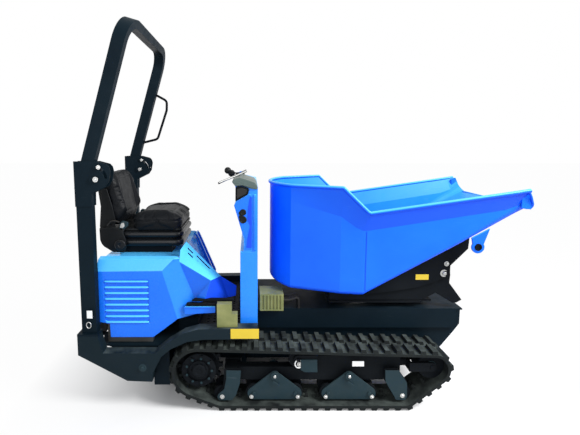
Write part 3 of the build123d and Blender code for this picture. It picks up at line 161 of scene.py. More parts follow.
def noise_at(tree, scale, detail=4, rough=0.55, place=None):
    """Noise in the object's own metres."""
    if place is None:
        place = tree.nodes.new("ShaderNodeTexCoord").outputs["Object"]
    node = tree.nodes.new("ShaderNodeTexNoise")
    tree.links.new(place, node.inputs["Vector"])
    if isinstance(scale, (int, float)):
        node.inputs["Scale"].default_value = scale
    else:
        tree.links.new(scale, node.inputs["Scale"])
    node.inputs["Detail"].default_value = detail
    node.inputs["Roughness"].default_value = rough
    return node.outputs["Fac"]


def maths(tree, operation, first, second=None, clamp=False):
    node = tree.nodes.new("ShaderNodeMath")
    node.operation = operation
    node.use_clamp = clamp
    for socket, value in zip(node.inputs, (first, second)):
        if value is None:
            continue
        if isinstance(value, (int, float)):
            socket.default_value = value
        else:
            tree.links.new(value, socket)
    return node.outputs[0]


def ramp(tree, value, low, high, to_low=0.0, to_high=1.0):
    """A clamped straight ramp from one range of values to another."""
    node = tree.nodes.new("ShaderNodeMapRange")
    for socket, number in zip(node.inputs[:5], (value, low, high, to_low, to_high)):
        if isinstance(number, (int, float)):
            socket.default_value = number
        else:
            tree.links.new(number, socket)
    return node.outputs[0]


# %% Dust, mud, scratches and painted sky light
dust_and_sheen_group, entry, leave = new_group("settled_dust_and_sheen", {"Amount": 0.3, "Scale": 9.0}, ("Mask",))
facing = dust_and_sheen_group.nodes.new("ShaderNodeNewGeometry")
parts = dust_and_sheen_group.nodes.new("ShaderNodeSeparateXYZ")
dust_and_sheen_group.links.new(facing.outputs["Normal"], parts.inputs[0])
upward = ramp(dust_and_sheen_group, parts.outputs["Z"], 0.25, 0.95)
patches = ramp(dust_and_sheen_group, noise_at(dust_and_sheen_group, entry.outputs["Scale"], 6), 0.35, 0.7)
thin = maths(dust_and_sheen_group, "MULTIPLY", upward, patches)
dust_and_sheen_group.links.new(maths(dust_and_sheen_group, "MULTIPLY", thin, entry.outputs["Amount"]), leave.inputs[0])

mud_group, entry, leave = new_group("dried_mud", {"Amount": 0.5, "Top": 0.5, "Scale": 14.0}, ("Mask",))
place = mud_group.nodes.new("ShaderNodeTexCoord")
parts = mud_group.nodes.new("ShaderNodeSeparateXYZ")
mud_group.links.new(place.outputs["Object"], parts.inputs[0])
height = maths(mud_group, "DIVIDE", parts.outputs["Z"], entry.outputs["Top"])
low_down = ramp(mud_group, height, 0.1, 1.0, 1.0, 0.0)
splash = ramp(mud_group, noise_at(mud_group, entry.outputs["Scale"], 8, 0.65), 0.42, 0.62)
speckle = maths(mud_group, "MULTIPLY", splash, low_down)
mud_group.links.new(maths(mud_group, "MULTIPLY", speckle, entry.outputs["Amount"]), leave.inputs[0])

scratch_group, entry, leave = new_group("fine_scratches", {"Amount": 0.3, "Scale": 30.0}, ("Mask",))
place = scratch_group.nodes.new("ShaderNodeTexCoord")
stretch = scratch_group.nodes.new("ShaderNodeMapping")
stretch.inputs["Scale"].default_value = (0.25, 1, 3)
stretch.inputs["Rotation"].default_value = (0.2, 0.5, 0.1)
scratch_group.links.new(place.outputs["Object"], stretch.inputs["Vector"])
streaks = noise_at(scratch_group, entry.outputs["Scale"], 3, 0.8, stretch.outputs["Vector"])
lines = ramp(scratch_group, streaks, 0.62, 0.68)
rare = ramp(scratch_group, noise_at(scratch_group, 3.0), 0.45, 0.6)
marks = maths(scratch_group, "MULTIPLY", lines, rare)
scratch_group.links.new(maths(scratch_group, "MULTIPLY", marks, entry.outputs["Amount"]), leave.inputs[0])
# Painted light for blue paint: the first output is a painted highlight on faces that look up, the second a painted
# shade on faces that look down.
painted_light_group, entry, leave = new_group("painted_sky_light", {"Amount": 0.6}, ("Mask", "PaintedShade"))
facing = painted_light_group.nodes.new("ShaderNodeNewGeometry")
parts = painted_light_group.nodes.new("ShaderNodeSeparateXYZ")
painted_light_group.links.new(facing.outputs["Normal"], parts.inputs[0])
upward = ramp(painted_light_group, parts.outputs["Z"], 0.02, 0.6)
uneven = ramp(painted_light_group, noise_at(painted_light_group, 3.0), 0.2, 0.8, 0.75, 1.0)
painted_highlight_mask = maths(painted_light_group, "MULTIPLY", upward, uneven)
painted_light_group.links.new(maths(painted_light_group, "MULTIPLY", painted_highlight_mask, entry.outputs["Amount"]), leave.inputs[0])
under = ramp(painted_light_group, parts.outputs["Z"], -0.03, -0.4)
painted_light_group.links.new(under, leave.inputs[1])
print("shared effects:", [g.name for g in bpy.data.node_groups])

# %% [markdown]
# ## Finishes
# A finish is a material that starts from one colour and adds what the real surface shows:
# a slow change of tone, dust on top faces (on the skirts also a painted highlight), mud low
# down, scratches, and a fine bump for sprayed paint, cast rubber or grained vinyl. On blue
# paint it also adds painted light: a painted highlight on faces that look up and painted
# shade on faces that look down. Constant values such as the gloss of the clear coat go
# straight on the shader's own sockets.


def use_group(tree, group, **values):
    node = tree.nodes.new("ShaderNodeGroup")
    node.node_tree = group
    for label, value in values.items():
        node.inputs[label.replace("_", " ")].default_value = value
    return node.outputs[0]


def blend_colour(tree, mask, under, over):
    node = tree.nodes.new("ShaderNodeMix")
    node.data_type = "RGBA"
    tree.links.new(mask, node.inputs["Factor"])
    for socket, value in ((node.inputs[6], under), (node.inputs[7], over)):
        if isinstance(value, tuple):
            socket.default_value = (*value, 1)
        else:
            tree.links.new(value, socket)
    return node.outputs[2]


def finish(
    name, colour, second, rough=(0.3, 0.45), metal=0.0, coat=0.0, tone=2.5, dust_and_sheen=0.0,
    mud=0.0, mud_top=0.5, scratches=0.0, scratch_colour=(0.5, 0.5, 0.5), bump=(120.0, 0.0),
    dust_and_sheen_colour=(0.42, 0.38, 0.31), mud_colour=(0.23, 0.18, 0.12), painted_light=0.0, gloss=0.5,
):
    material = bpy.data.materials.new(name)
    material.use_nodes = True
    tree = material.node_tree
    shader = tree.nodes["Principled BSDF"]
    shader.inputs["Metallic"].default_value = metal
    shader.inputs["Coat Weight"].default_value = coat
    shader.inputs["Coat Roughness"].default_value = 0.12
    shader.inputs["Specular IOR Level"].default_value = gloss
    slow = ramp(tree, noise_at(tree, tone, 5), 0.3, 0.7)
    shade = blend_colour(tree, slow, colour, second)
    # On blue paint, faces that look up are mixed towards light cyan as a painted highlight, and faces that look down
    # towards deep blue as painted shade.
    if painted_light:
        painted_highlight_mask = use_group(tree, painted_light_group, Amount=painted_light)
        shade = blend_colour(tree, painted_highlight_mask, shade, (0.10, 0.58, 1.0))
        shade = blend_colour(tree, painted_highlight_mask.node.outputs["PaintedShade"], shade, (0.004, 0.07, 0.72))
    if scratches:
        shade = blend_colour(tree, use_group(tree, scratch_group, Amount=scratches), shade, scratch_colour)
    if mud:
        shade = blend_colour(tree, use_group(tree, mud_group, Amount=mud, Top=mud_top), shade, mud_colour)
    if dust_and_sheen:
        shade = blend_colour(tree, use_group(tree, dust_and_sheen_group, Amount=dust_and_sheen), shade, dust_and_sheen_colour)
    tree.links.new(shade, shader.inputs["Base Color"])
    uneven = ramp(tree, noise_at(tree, 18.0, 6), 0.3, 0.7, *rough)
    tree.links.new(uneven, shader.inputs["Roughness"])
    if bump[1]:
        relief = tree.nodes.new("ShaderNodeBump")
        relief.inputs["Strength"].default_value = bump[1]
        relief.inputs["Distance"].default_value = 0.001
        tree.links.new(noise_at(tree, bump[0], 3), relief.inputs["Height"])
        tree.links.new(relief.outputs[0], shader.inputs["Normal"])
    return material


# %% Finishes of the machine
skip_blue = finish(
    "skip_blue", (0.003, 0.112, 0.80), (0.006, 0.14, 0.86), (0.30, 0.42), coat=0.06,
    dust_and_sheen=0.05, scratches=0.10, scratch_colour=(0.08, 0.28, 0.70), bump=(260.0, 0.06), painted_light=0.75, gloss=0.15,
)
# The inside of the skip is a lighter, cyan copy of the same blue paint: painted light for the top-lit inside, with real
# scratches and dust on it.
skip_inside_painted_light = finish(
    "skip_inside_painted_light", (0.012, 0.22, 0.86), (0.022, 0.27, 0.90), (0.34, 0.5),
    dust_and_sheen=0.08, scratches=0.45, scratch_colour=(0.10, 0.34, 0.66), bump=(160.0, 0.12), painted_light=0.2, gloss=0.2,
)
hood_blue = finish(
    "hood_blue", (0.005, 0.135, 0.80), (0.008, 0.165, 0.85), (0.22, 0.34), coat=0.15,
    dust_and_sheen=0.03, bump=(300.0, 0.04), painted_light=0.95, gloss=0.2,
)
column_blue = finish(
    "column_blue", (0.012, 0.19, 0.86), (0.018, 0.235, 0.90), (0.22, 0.34), coat=0.15,
    dust_and_sheen=0.03, bump=(300.0, 0.04), painted_light=0.95, gloss=0.2,
)
# A darker copy of the blue paint, used as painted shade in the louvre recess, the hood's holes, the skip's seam line
# and facets turned away from the light.
painted_shade_blue = finish(
    "painted_shade_blue", (0.004, 0.05, 0.62), (0.006, 0.07, 0.68), (0.4, 0.5), gloss=0.2,
    bump=(260.0, 0.05),
)
charcoal = finish(
    "charcoal", (0.003, 0.008, 0.013), (0.005, 0.012, 0.018), (0.40, 0.55),
    dust_and_sheen=0.12, mud=0.05, scratches=0.12, scratch_colour=(0.05, 0.055, 0.06), bump=(200.0, 0.15), gloss=0.05,
    dust_and_sheen_colour=(0.035, 0.055, 0.065), mud_colour=(0.03, 0.032, 0.03),
)
slate = finish(
    "slate", (0.013, 0.028, 0.036), (0.017, 0.034, 0.042), (0.40, 0.55),
    dust_and_sheen=0.2, mud=0.12, scratches=0.2, scratch_colour=(0.10, 0.12, 0.13), bump=(180.0, 0.2), gloss=0.08,
    mud_colour=(0.05, 0.055, 0.05), dust_and_sheen_colour=(0.10, 0.13, 0.13),
)
# The side skirts take a heavy dose of blue-grey dust on their top faces: partly dust, partly a painted highlight.
skirt_grey = finish(
    "skirt_grey", (0.006, 0.013, 0.018), (0.009, 0.017, 0.023), (0.40, 0.55),
    dust_and_sheen=0.6, mud=0.08, scratches=0.2, scratch_colour=(0.08, 0.09, 0.09), bump=(200.0, 0.15), gloss=0.06,
    dust_and_sheen_colour=(0.10, 0.13, 0.13), mud_colour=(0.03, 0.032, 0.03),
)
sill_grey = finish(
    "sill_grey", (0.060, 0.090, 0.090), (0.085, 0.115, 0.105), (0.40, 0.55),
    dust_and_sheen=0.25, mud=0.2, scratches=0.2, scratch_colour=(0.16, 0.18, 0.17), bump=(180.0, 0.2), gloss=0.25,
)
soot = finish(
    "soot", (0.004, 0.005, 0.007), (0.008, 0.010, 0.012), (0.4, 0.6),
    dust_and_sheen=0.08, mud=0.08, scratches=0.15, scratch_colour=(0.03, 0.03, 0.032), bump=(150.0, 0.2), gloss=0.03,
    mud_colour=(0.02, 0.021, 0.02), dust_and_sheen_colour=(0.05, 0.055, 0.055),
)
belt_rubber = finish(
    "belt_rubber", (0.008, 0.010, 0.011), (0.016, 0.019, 0.019), (0.6, 0.8),
    dust_and_sheen=0.7, mud=0.15, mud_top=0.6, scratches=0.3, scratch_colour=(0.05, 0.055, 0.05),
    bump=(90.0, 0.35), dust_and_sheen_colour=(0.10, 0.12, 0.11), mud_colour=(0.03, 0.032, 0.03), gloss=0.04,
)
vinyl = finish(
    "vinyl", (0.003, 0.004, 0.005), (0.005, 0.006, 0.008), (0.36, 0.5),
    bump=(420.0, 0.35), gloss=0.1,
)
bellows_black = finish(
    "bellows_black", (0.003, 0.004, 0.005), (0.006, 0.007, 0.009), (0.24, 0.36),
    bump=(300.0, 0.15), gloss=0.25,
)
moulding = finish(
    "moulding", (0.004, 0.005, 0.006), (0.007, 0.008, 0.009), (0.35, 0.5),
    dust_and_sheen=0.02, bump=(500.0, 0.2), gloss=0.14,
)
hose_black = finish(
    "hose_black", (0.008, 0.008, 0.008), (0.014, 0.014, 0.014), (0.4, 0.6), dust_and_sheen=0.1,
    bump=(300.0, 0.15), gloss=0.25,
)
olive = finish(
    "olive", (0.13, 0.15, 0.045), (0.24, 0.25, 0.09), (0.35, 0.5), metal=0.2,
    tone=9.0, dust_and_sheen=0.15, scratches=0.3, scratch_colour=(0.34, 0.34, 0.22), bump=(200.0, 0.2),
)
label_white = finish(
    "label_white", (0.70, 0.72, 0.72), (0.80, 0.80, 0.79), (0.4, 0.5), bump=(300.0, 0.03),
)
zinc = finish(
    "zinc", (0.46, 0.47, 0.47), (0.58, 0.58, 0.56), (0.25, 0.42), metal=1.0,
    bump=(200.0, 0.1),
)
chrome = finish(
    "chrome", (0.70, 0.71, 0.72), (0.78, 0.78, 0.79), (0.08, 0.14), metal=1.0,
)
iron = finish(
    "iron", (0.03, 0.03, 0.03), (0.05, 0.05, 0.045), (0.5, 0.7), bump=(120.0, 0.4),
)
aluminium = finish(
    "aluminium", (0.42, 0.43, 0.44), (0.5, 0.5, 0.5), (0.35, 0.5), metal=1.0,
)
sun_yellow = finish(
    "sun_yellow", (0.56, 0.40, 0.015), (0.64, 0.46, 0.02), (0.4, 0.5), dust_and_sheen=0.1,
)

# %% [markdown]
# ## Pieces from the CAD
# Where the CAD solid already has the right shape, the piece is a clean copy of its mesh:
# triangles on one plane are joined into one face, and every hard edge gets a small round,
# because a real folded or cut edge always catches a line of light.


# %% Piece makers
def rounded(obj, width, angle=30, segments=2):
    if width:
        bevel = obj.modifiers.new("edge_round", "BEVEL")
        bevel.width = width
        bevel.segments = segments
        bevel.limit_method = "ANGLE"
        bevel.angle_limit = radians(angle)
        bevel.harden_normals = True
        bevel.use_clamp_overlap = True
    return obj


def make_piece(name, mesh, material, body, stands_for=(), edge=0.0, smooth_angle=32):
    obj = bpy.data.objects.new(name, mesh)
    scene.collection.objects.link(obj)
    mesh.materials.clear()
    mesh.materials.append(material)
    mesh.polygons.foreach_set("use_smooth", [True] * len(mesh.polygons))
    mesh.set_sharp_from_angle(angle=radians(smooth_angle))
    rounded(obj, edge)
    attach(obj, body)
    if stands_for:
        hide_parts(*stands_for)
    return obj


body_of_node = {}
for body_name, members in frame["record"]["behaviour"]["bodies"].items():
    for member in members:
        body_of_node[member] = body_name


def from_cad(node, material, edge=0.0015):
    mesh = nodes[node].data.copy()
    mesh.name = node + "_dressed"
    shell = bmesh.new()
    shell.from_mesh(mesh)
    bmesh.ops.remove_doubles(shell, verts=shell.verts, dist=0.00002)
    bmesh.ops.dissolve_limit(
        shell, angle_limit=radians(0.6), verts=shell.verts, edges=shell.edges, delimit={"NORMAL"},
    )
    shell.to_mesh(mesh)
    shell.free()
    if "custom_normal" in mesh.attributes:
        mesh.attributes.remove(mesh.attributes["custom_normal"])
    return make_piece(node + "_dressed", mesh, material, body_of_node[node], (node,), edge)


# %% Metal and rubber pieces whose CAD shape stays
cad_finishes = {
    "main_frame": charcoal, "roll_bar_posts": charcoal, "roll_bar_arch": charcoal,
    "right_side_skirt": skirt_grey, "left_side_skirt": skirt_grey, "track_frames": soot,
    "floor_plate": soot, "turntable": soot, "skip_underframe": soot, "slew_ring": zinc,
    "drive_motors": soot, "engine": iron, "radiator": iron, "fuel_tank": moulding,
    "cooling_fan": moulding, "hydraulic_valves": olive, "hydraulic_hoses": hose_black,
    "grab_handle": soot, "seat_base": soot, "seat_pan": moulding,
    "hand_rest": moulding, "rocker_switch": moulding, "cylinder_barrel": soot,
    "cylinder_rod": chrome,
    "control_column": column_blue, "control_head": column_blue,
}
for side in ("right", "left"):
    cad_finishes[f"{side}_track_belt"] = belt_rubber
    cad_finishes[f"{side}_travel_lever"] = moulding
    for wheel in ("sprocket", "idler", "carrier_roller", "tension_fork"):
        cad_finishes[f"{side}_{wheel}"] = soot
    for number in range(1, 7):
        cad_finishes[f"{side}_roller_{number}"] = soot
    for end in ("front", "rear"):
        cad_finishes[f"{side}_{end}_bogie"] = slate
for node, material in cad_finishes.items():
    piece = from_cad(node, material)
    if node == "floor_plate":
        piece.data.materials.append(hood_blue)
        for polygon in piece.data.polygons:
            if polygon.center.z > 0.62:
                polygon.material_index = 1
print("pieces from the CAD:", len(cad_finishes))

# %% [markdown]
# ## Shape helpers
# Most metal details are plates, bolts and bent rods. A plate is an outline in the side
# view, given in millimetres, that is pulled across the machine. Bolts are turned shapes
# with a washer, and many of them are joined into one piece for each body.


# %% Plates, turned shapes and rods
def mm(point):
    return Vector(point) / 1000


def join_shell(shell, name):
    mesh = bpy.data.meshes.new(name)
    bmesh.ops.recalc_face_normals(shell, faces=shell.faces)
    shell.to_mesh(mesh)
    shell.free()
    return mesh


def plate_into(shell, outline, near, far):
    """A plate with an XZ outline between two Y values, all in millimetres."""
    front = [shell.verts.new(mm((x, near, z))) for x, z in outline]
    back = [shell.verts.new(mm((x, far, z))) for x, z in outline]
    shell.faces.new(front)
    shell.faces.new(back[::-1])
    for i in range(len(outline)):
        j = (i + 1) % len(outline)
        shell.faces.new((front[i], back[i], back[j], front[j]))


def plate_piece(name, outline, near, far, material, body, edge=0.0015, stands_for=()):
    shell = bmesh.new()
    plate_into(shell, outline, near, far)
    return make_piece(name, join_shell(shell, name), material, body, stands_for, edge)


def turned_into(shell, base, axis, profile, sides=32, turn=0.0):
    """A turned shape: profile is [(distance along the axis, radius)] in millimetres."""
    axis = Vector(axis).normalized()
    across_axis = axis.orthogonal().normalized()
    other = axis.cross(across_axis)
    rings = []
    for along, radius in profile:
        ring = []
        for k in range(sides):
            a = 2 * pi * k / sides + turn
            offset = across_axis * cos(a) + other * sin(a)
            ring.append(shell.verts.new(mm(Vector(base) + axis * along + offset * radius)))
        rings.append(ring)
    for low, high in zip(rings, rings[1:]):
        for k in range(sides):
            shell.faces.new((low[k], low[(k + 1) % sides], high[(k + 1) % sides], high[k]))
    shell.faces.new(rings[0][::-1])
    shell.faces.new(rings[-1])


def bolt_into(shell, base, axis, size=9.0, washer=True):
    """A hex head with a domed chamfer on a washer."""
    if washer:
        turned_into(shell, base, axis, [(-1, size * 1.7), (1.6, size * 1.7), (2.2, size * 1.6)])
    turned_into(shell, base, axis, [(1.5, size), (size * 0.75, size), (size * 0.95, size * 0.82)], 6)
    turned_into(shell, base, axis, [(size * 0.8, size * 0.5), (size * 1.02, size * 0.5)], 16)


def bolts_piece(name, places, material, body, axis=(0, -1, 0), edge=0.0004):
    shell = bmesh.new()
    for x, y, z, size in places:
        bolt_into(shell, (x, y, z), axis, size)
    return make_piece(name, join_shell(shell, name), material, body, (), edge)


def rod_piece(name, points, radius, material, body, stands_for=(), closed=False, smooth=True):
    """A bent round rod or tube through points in millimetres."""
    curve = bpy.data.curves.new(name, "CURVE")
    curve.dimensions = "3D"
    curve.bevel_depth = radius / 1000
    curve.bevel_resolution = 5
    curve.use_fill_caps = True
    curve.resolution_u = 8
    spline = curve.splines.new("NURBS" if smooth else "POLY")
    spline.points.add(len(points) - 1)
    for point, place in zip(spline.points, points):
        point.co = (*mm(place), 1)
    spline.use_cyclic_u = closed
    spline.use_endpoint_u = not closed
    spline.order_u = 3
    holder = bpy.data.objects.new(name, curve)
    scene.collection.objects.link(holder)
    bpy.context.view_layer.update()
    mesh = bpy.data.meshes.new_from_object(holder.evaluated_get(bpy.context.evaluated_depsgraph_get()))
    mesh.name = name
    bpy.data.objects.remove(holder)
    return make_piece(name, mesh, material, body, stands_for, 0, 50)


# %% [markdown]
# ## Engine hood
# The real hood is a thick pressed shell with soft edges. Its flank is flat, a broad
# chamfer turns it towards the footwell, and the top edge rolls over in a wide bright
# curve. A cage of flat faces with a wide bevel on each crease gives exactly that look.

# %% Hood cage
def hood_half(sign):
    """Named corners of one half of the hood, in millimetres."""
    flank, corner, edge, ridge, inner = 447 * sign, 390 * sign, 412 * sign, 372 * sign, 295 * sign
    return {
        "rear_inner": (-1356, inner, 956), "rear_ridge": (-1357, ridge, 982), "rear_edge": (-1358, edge, 972),
        "rear_shoulder": (-1362, flank, 900), "rear_low": (-1364, flank, 560), "step_top": (-1284, flank, 545),
        "step_low": (-1280, flank, 452), "belly": (-999, flank, 452), "rise": (-862, flank, 556),
        "crease_low": (-836, flank, 578), "corner_low": (-703, corner, 590), "corner_knee": (-703, corner, 628),
        "crease_top": (-932, flank, 905), "corner_top": (-816, corner, 970), "front_edge": (-862, edge, 972),
        "front_ridge": (-836, ridge, 982), "front_inner": (-836, inner, 956),
    }


near = hood_half(-1)
far = hood_half(1)
names = list(near)
shell = bmesh.new()
corner = {}
for mark, half in (("n", near), ("f", far)):
    for label in names:
        corner[mark + label] = shell.verts.new(mm(half[label]))
for mark in "nf":
    c = {label: corner[mark + label] for label in names}
    shell.faces.new([c[k] for k in (
        "rear_shoulder", "crease_top", "crease_low", "rise", "belly", "step_low", "step_top", "rear_low",
    )])
    shell.faces.new([c[k] for k in ("crease_top", "corner_top", "corner_knee", "corner_low", "crease_low")])
    shell.faces.new([c[k] for k in ("rear_edge", "front_edge", "crease_top", "rear_shoulder")])
    shell.faces.new([c[k] for k in ("rear_ridge", "front_ridge", "front_edge", "rear_edge")])
    shell.faces.new([c[k] for k in ("rear_inner", "front_inner", "front_ridge", "rear_ridge")])
    shell.faces.new([c[k] for k in ("front_edge", "corner_top", "crease_top")])
    shell.faces.new([c[k] for k in ("front_edge", "front_ridge", "corner_top")])
shell.faces.new([corner[k] for k in ("nrear_inner", "nfront_inner", "ffront_inner", "frear_inner")])
shell.faces.new([corner[k] for k in (
    "nrear_inner", "nrear_ridge", "nrear_edge", "nrear_shoulder", "nrear_low",
    "frear_low", "frear_shoulder", "frear_edge", "frear_ridge", "frear_inner",
)])
shell.faces.new([corner[k] for k in (
    "nfront_inner", "nfront_ridge", "ncorner_top", "ncorner_knee", "fcorner_knee", "fcorner_top", "ffront_ridge",
    "ffront_inner",
)])
shell.faces.new([corner[k] for k in ("ncorner_knee", "ncorner_low", "fcorner_low", "fcorner_knee")])
hood_mesh = join_shell(shell, "hood_shell")
hood_piece = make_piece("hood_shell", hood_mesh, hood_blue, "hood", ("hood",), 0)
print("hood cage faces", len(hood_mesh.polygons))

# %% [markdown]
# The louvre panel is pressed a little inwards. It is cut out of the flank with a boolean,
# which keeps the rest of the cage whole, and then the wide bevel rounds everything.

# %% Louvre recess and soft edges
panel_outline = [(-1311, 844), (-1020, 844), (-1020, 549), (-1276, 549), (-1311, 566)]
shell = bmesh.new()
plate_into(shell, panel_outline, -470, -439)
cutter = bpy.data.objects.new("recess_cutter", join_shell(shell, "recess_cutter"))
scene.collection.objects.link(cutter)
cut = hood_piece.modifiers.new("louvre_recess", "BOOLEAN")
cut.operation = "DIFFERENCE"
cut.object = cutter
cut.solver = "EXACT"
bpy.context.view_layer.update()
cut_mesh = bpy.data.meshes.new_from_object(hood_piece.evaluated_get(bpy.context.evaluated_depsgraph_get()))
hood_piece.modifiers.clear()
hood_piece.data = cut_mesh
bpy.data.objects.remove(cutter)
wall = hood_piece.modifiers.new("sheet", "SOLIDIFY")
wall.thickness = 0.006
wall.offset = -1
for polygon in cut_mesh.polygons:
    polygon.use_smooth = True
rounded(hood_piece, 0.019, 12, 4)
# The tray behind the louvres is the darker blue: painted shade in the recess.
tray_outline = [(-1320, 852), (-1012, 852), (-1012, 541), (-1272, 541), (-1320, 558)]
plate_piece("louvre_tray", tray_outline, -436, -432, painted_shade_blue, "hood", 0)

# %% [markdown]
# Each louvre is a half round scoop that stands out of the recess, with a closed round
# end at the front.

# %% Louvres
shell = bmesh.new()
for row in range(8):
    top = 840 - row * 39.5
    bar_profile = [(-437, top + 1), (-446, top), (-453, top - 7), (-454, top - 13), (-449, top - 18), (-437, top - 15)]
    stations = [(-1312, 0.6), (-1308, 0.9), (-1300, 1), (-1034, 1), (-1026, 0.9), (-1021, 0.5)]
    rings = []
    for x, share in stations:
        rings.append([shell.verts.new(mm((x, -437 + (y + 437) * share, top - 8 + (z - top + 8) * share))) for y, z in bar_profile])
    for low, high in zip(rings, rings[1:]):
        for k in range(len(bar_profile)):
            j = (k + 1) % len(bar_profile)
            shell.faces.new((low[k], low[j], high[j], high[k]))
    shell.faces.new(rings[0][::-1])
    shell.faces.new(rings[-1])
louvres = make_piece("hood_louvres", join_shell(shell, "hood_louvres"), hood_blue, "hood", (), 0, 60)
soften = louvres.modifiers.new("soften", "SUBSURF")
soften.levels = soften.render_levels = 1

# %% [markdown]
# ## Seat
# The suspension seat has a foam cushion and a foam backrest under black vinyl, both with
# raised side bolsters and sewn channels. Each foam starts as a closed form a little smaller
# than the real one. It is remeshed to small even faces, blown up by a cloth simulation so
# that its sides pull in between the corners, and then the seams are pressed in.


# %% Foam tools
def ring_form(name, rings, cap_low=True, cap_high=True):
    """A closed form through rings of points in millimetres, all with as many points."""
    shell = bmesh.new()
    made = [[shell.verts.new(mm(p)) for p in ring] for ring in rings]
    for low, high in zip(made, made[1:]):
        for k in range(len(low)):
            j = (k + 1) % len(low)
            shell.faces.new((low[k], low[j], high[j], high[k]))
    if cap_low:
        shell.faces.new(made[0][::-1])
    if cap_high:
        shell.faces.new(made[-1])
    return join_shell(shell, name)


def round_rectangle(half_x, half_y, corner, steps=8):
    """Points of a rounded rectangle about the origin, anticlockwise."""
    corner = min(corner, half_x - 1, half_y - 1)
    points = []
    for sx, sy, start in ((1, 1, 0), (-1, 1, 90), (-1, -1, 180), (1, -1, 270)):
        for k in range(steps + 1):
            a = radians(start + 90 * k / steps)
            points.append((sx * (half_x - corner) + corner * cos(a), sy * (half_y - corner) + corner * sin(a)))
    return points


def puff(obj, pressure, most, voxel=0.0055, frames=20):
    """Remeshes a closed form, blows it up as cloth, caps how far each point moves."""
    remesh = obj.modifiers.new("even_faces", "REMESH")
    remesh.mode = "VOXEL"
    remesh.voxel_size = voxel
    bpy.context.view_layer.update()
    even = bpy.data.meshes.new_from_object(obj.evaluated_get(bpy.context.evaluated_depsgraph_get()))
    obj.modifiers.clear()
    obj.data = even
    start = [v.co.copy() for v in even.vertices]
    cloth = obj.modifiers.new("foam", "CLOTH")
    cloth.settings.use_pressure = True
    cloth.settings.uniform_pressure_force = pressure
    cloth.settings.effector_weights.gravity = 0
    cloth.settings.tension_stiffness = 30
    cloth.settings.compression_stiffness = 30
    cloth.point_cache.frame_end = frames
    for number in range(1, frames + 1):
        scene.frame_set(number)
    blown = obj.evaluated_get(bpy.context.evaluated_depsgraph_get()).to_mesh()
    ends = [v.co.copy() for v in blown.vertices]
    obj.modifiers.clear()
    for vertex, before, after in zip(even.vertices, start, ends):
        move = after - before
        if move.length > most:
            move = move.normalized() * most
        vertex.co = before + move
    scene.frame_set(1)


def press_seams(mesh, depth_at):
    """Moves each point along its normal by depth_at(point), in metres."""
    normals = [v.normal.copy() for v in mesh.vertices]
    for vertex, normal in zip(mesh.vertices, normals):
        vertex.co = vertex.co + normal * depth_at(vertex.co)


def groove(distance, width):
    """1 at the middle of a seam, falling off smoothly to 0."""
    return 2.718 ** (-((distance / width) ** 2))


# %% Seat cushion
cushion_x, cushion_half_x, cushion_half_y = -1018, 180, 232
cushion_rings = []
for z, inset in ((1112, 16), (1122, 3), (1146, 0), (1178, 0), (1202, 6), (1216, 18), (1224, 40), (1227, 80)):
    loop = round_rectangle(cushion_half_x - inset, cushion_half_y - inset, 70 - inset * 0.3)
    ring = []
    for x, y in loop:
        crest = 24 * 2.718 ** (-(((x - 10) / 95) ** 2)) - 14 * max(0, x / cushion_half_x) ** 3
        ring.append((cushion_x + x, y, z + crest * max(0, (z - 1150) / 77)))
    cushion_rings.append(ring)
cushion = make_piece(
    "cushion_foam", ring_form("cushion_foam", cushion_rings), vinyl, "seat", ("seat_cushion",), 0, 180,
)
puff(cushion, 4, 0.011)


def cushion_relief(p):
    x, y = p.x * 1000 - cushion_x, abs(p.y * 1000)
    rim_seam = groove(p.z * 1000 - 1186 - 10 * groove(x - 10, 95), 3.0)
    if p.z < 1.196:
        return -0.003 * rim_seam
    bend = 142 - 30 * max(0, x / 180) ** 2
    side_seam = groove(y - bend, 5.0) if x < 105 else 0
    front_seam = groove(x - 105, 5.0) if y < bend else 0
    channel = max(groove(x + 95, 4.0), groove(x - 15, 4.0)) if y < bend else 0
    bolster = 0.012 * max(0, 1 - ((y - 188) / 46) ** 2) if y > 142 else 0
    return bolster - 0.005 * max(side_seam, front_seam) - 0.003 * max(channel, rim_seam)


press_seams(cushion.data, cushion_relief)
for polygon in cushion.data.polygons:
    polygon.use_smooth = True
print("cushion points", len(cushion.data.vertices))

# %% Backrest foam
lean = radians(8)
back_up = Vector((-sin(lean), 0, cos(lean)))
back_front = Vector((cos(lean), 0, sin(lean)))
back_foot = Vector((-1392.5, 0, 1180))


def on_back(depth, y, up):
    """A point of the backrest: depth forward, y across, up along its lean."""
    p = back_foot + back_up * up + back_front * depth
    return (p.x, y, p.z)


back_rings = []
for depth, inset in ((30, 22), (37, 6), (58, 0), (86, 0), (102, 8), (112, 24), (116, 50)):
    ring = []
    for x, y in round_rectangle(200 - inset, 222 - inset, 104 - inset * 0.4):
        up = 148 + x
        narrow = 1 - 0.20 * max(0, (x + 200) / 400 - 0.5) ** 1.5
        lumbar = 26 * 2.718 ** (-(((up - 75) / 80) ** 2)) * max(0, (depth - 58) / 58)
        wing = 12 * (abs(y) / 222) ** 2
        ring.append(on_back(depth + wing + lumbar, y * narrow, up))
    back_rings.append(ring)
back = make_piece(
    "backrest_foam", ring_form("backrest_foam", back_rings), vinyl, "backrest", ("backrest",), 0, 180,
)
puff(back, 4, 0.010)


def back_relief(p):
    q = p * 1000 - back_foot
    up, depth, y = q.dot(back_up), q.dot(back_front), abs(q.y)
    if depth < 80:
        return -0.002 * groove(depth - 72, 3.5)
    bend = 118 + 14 * (up / 330)
    side_seam = groove(y - bend, 4.5) if 40 < up < 290 else 0
    cross = max(groove(up - 40, 4.5), groove(up - 290, 4.5)) if y < bend else 0
    bolster = 0.010 * max(0, 1 - ((y - 172) / 44) ** 2) * min(1, max(0, up / 60))
    return bolster - 0.004 * max(side_seam, cross)


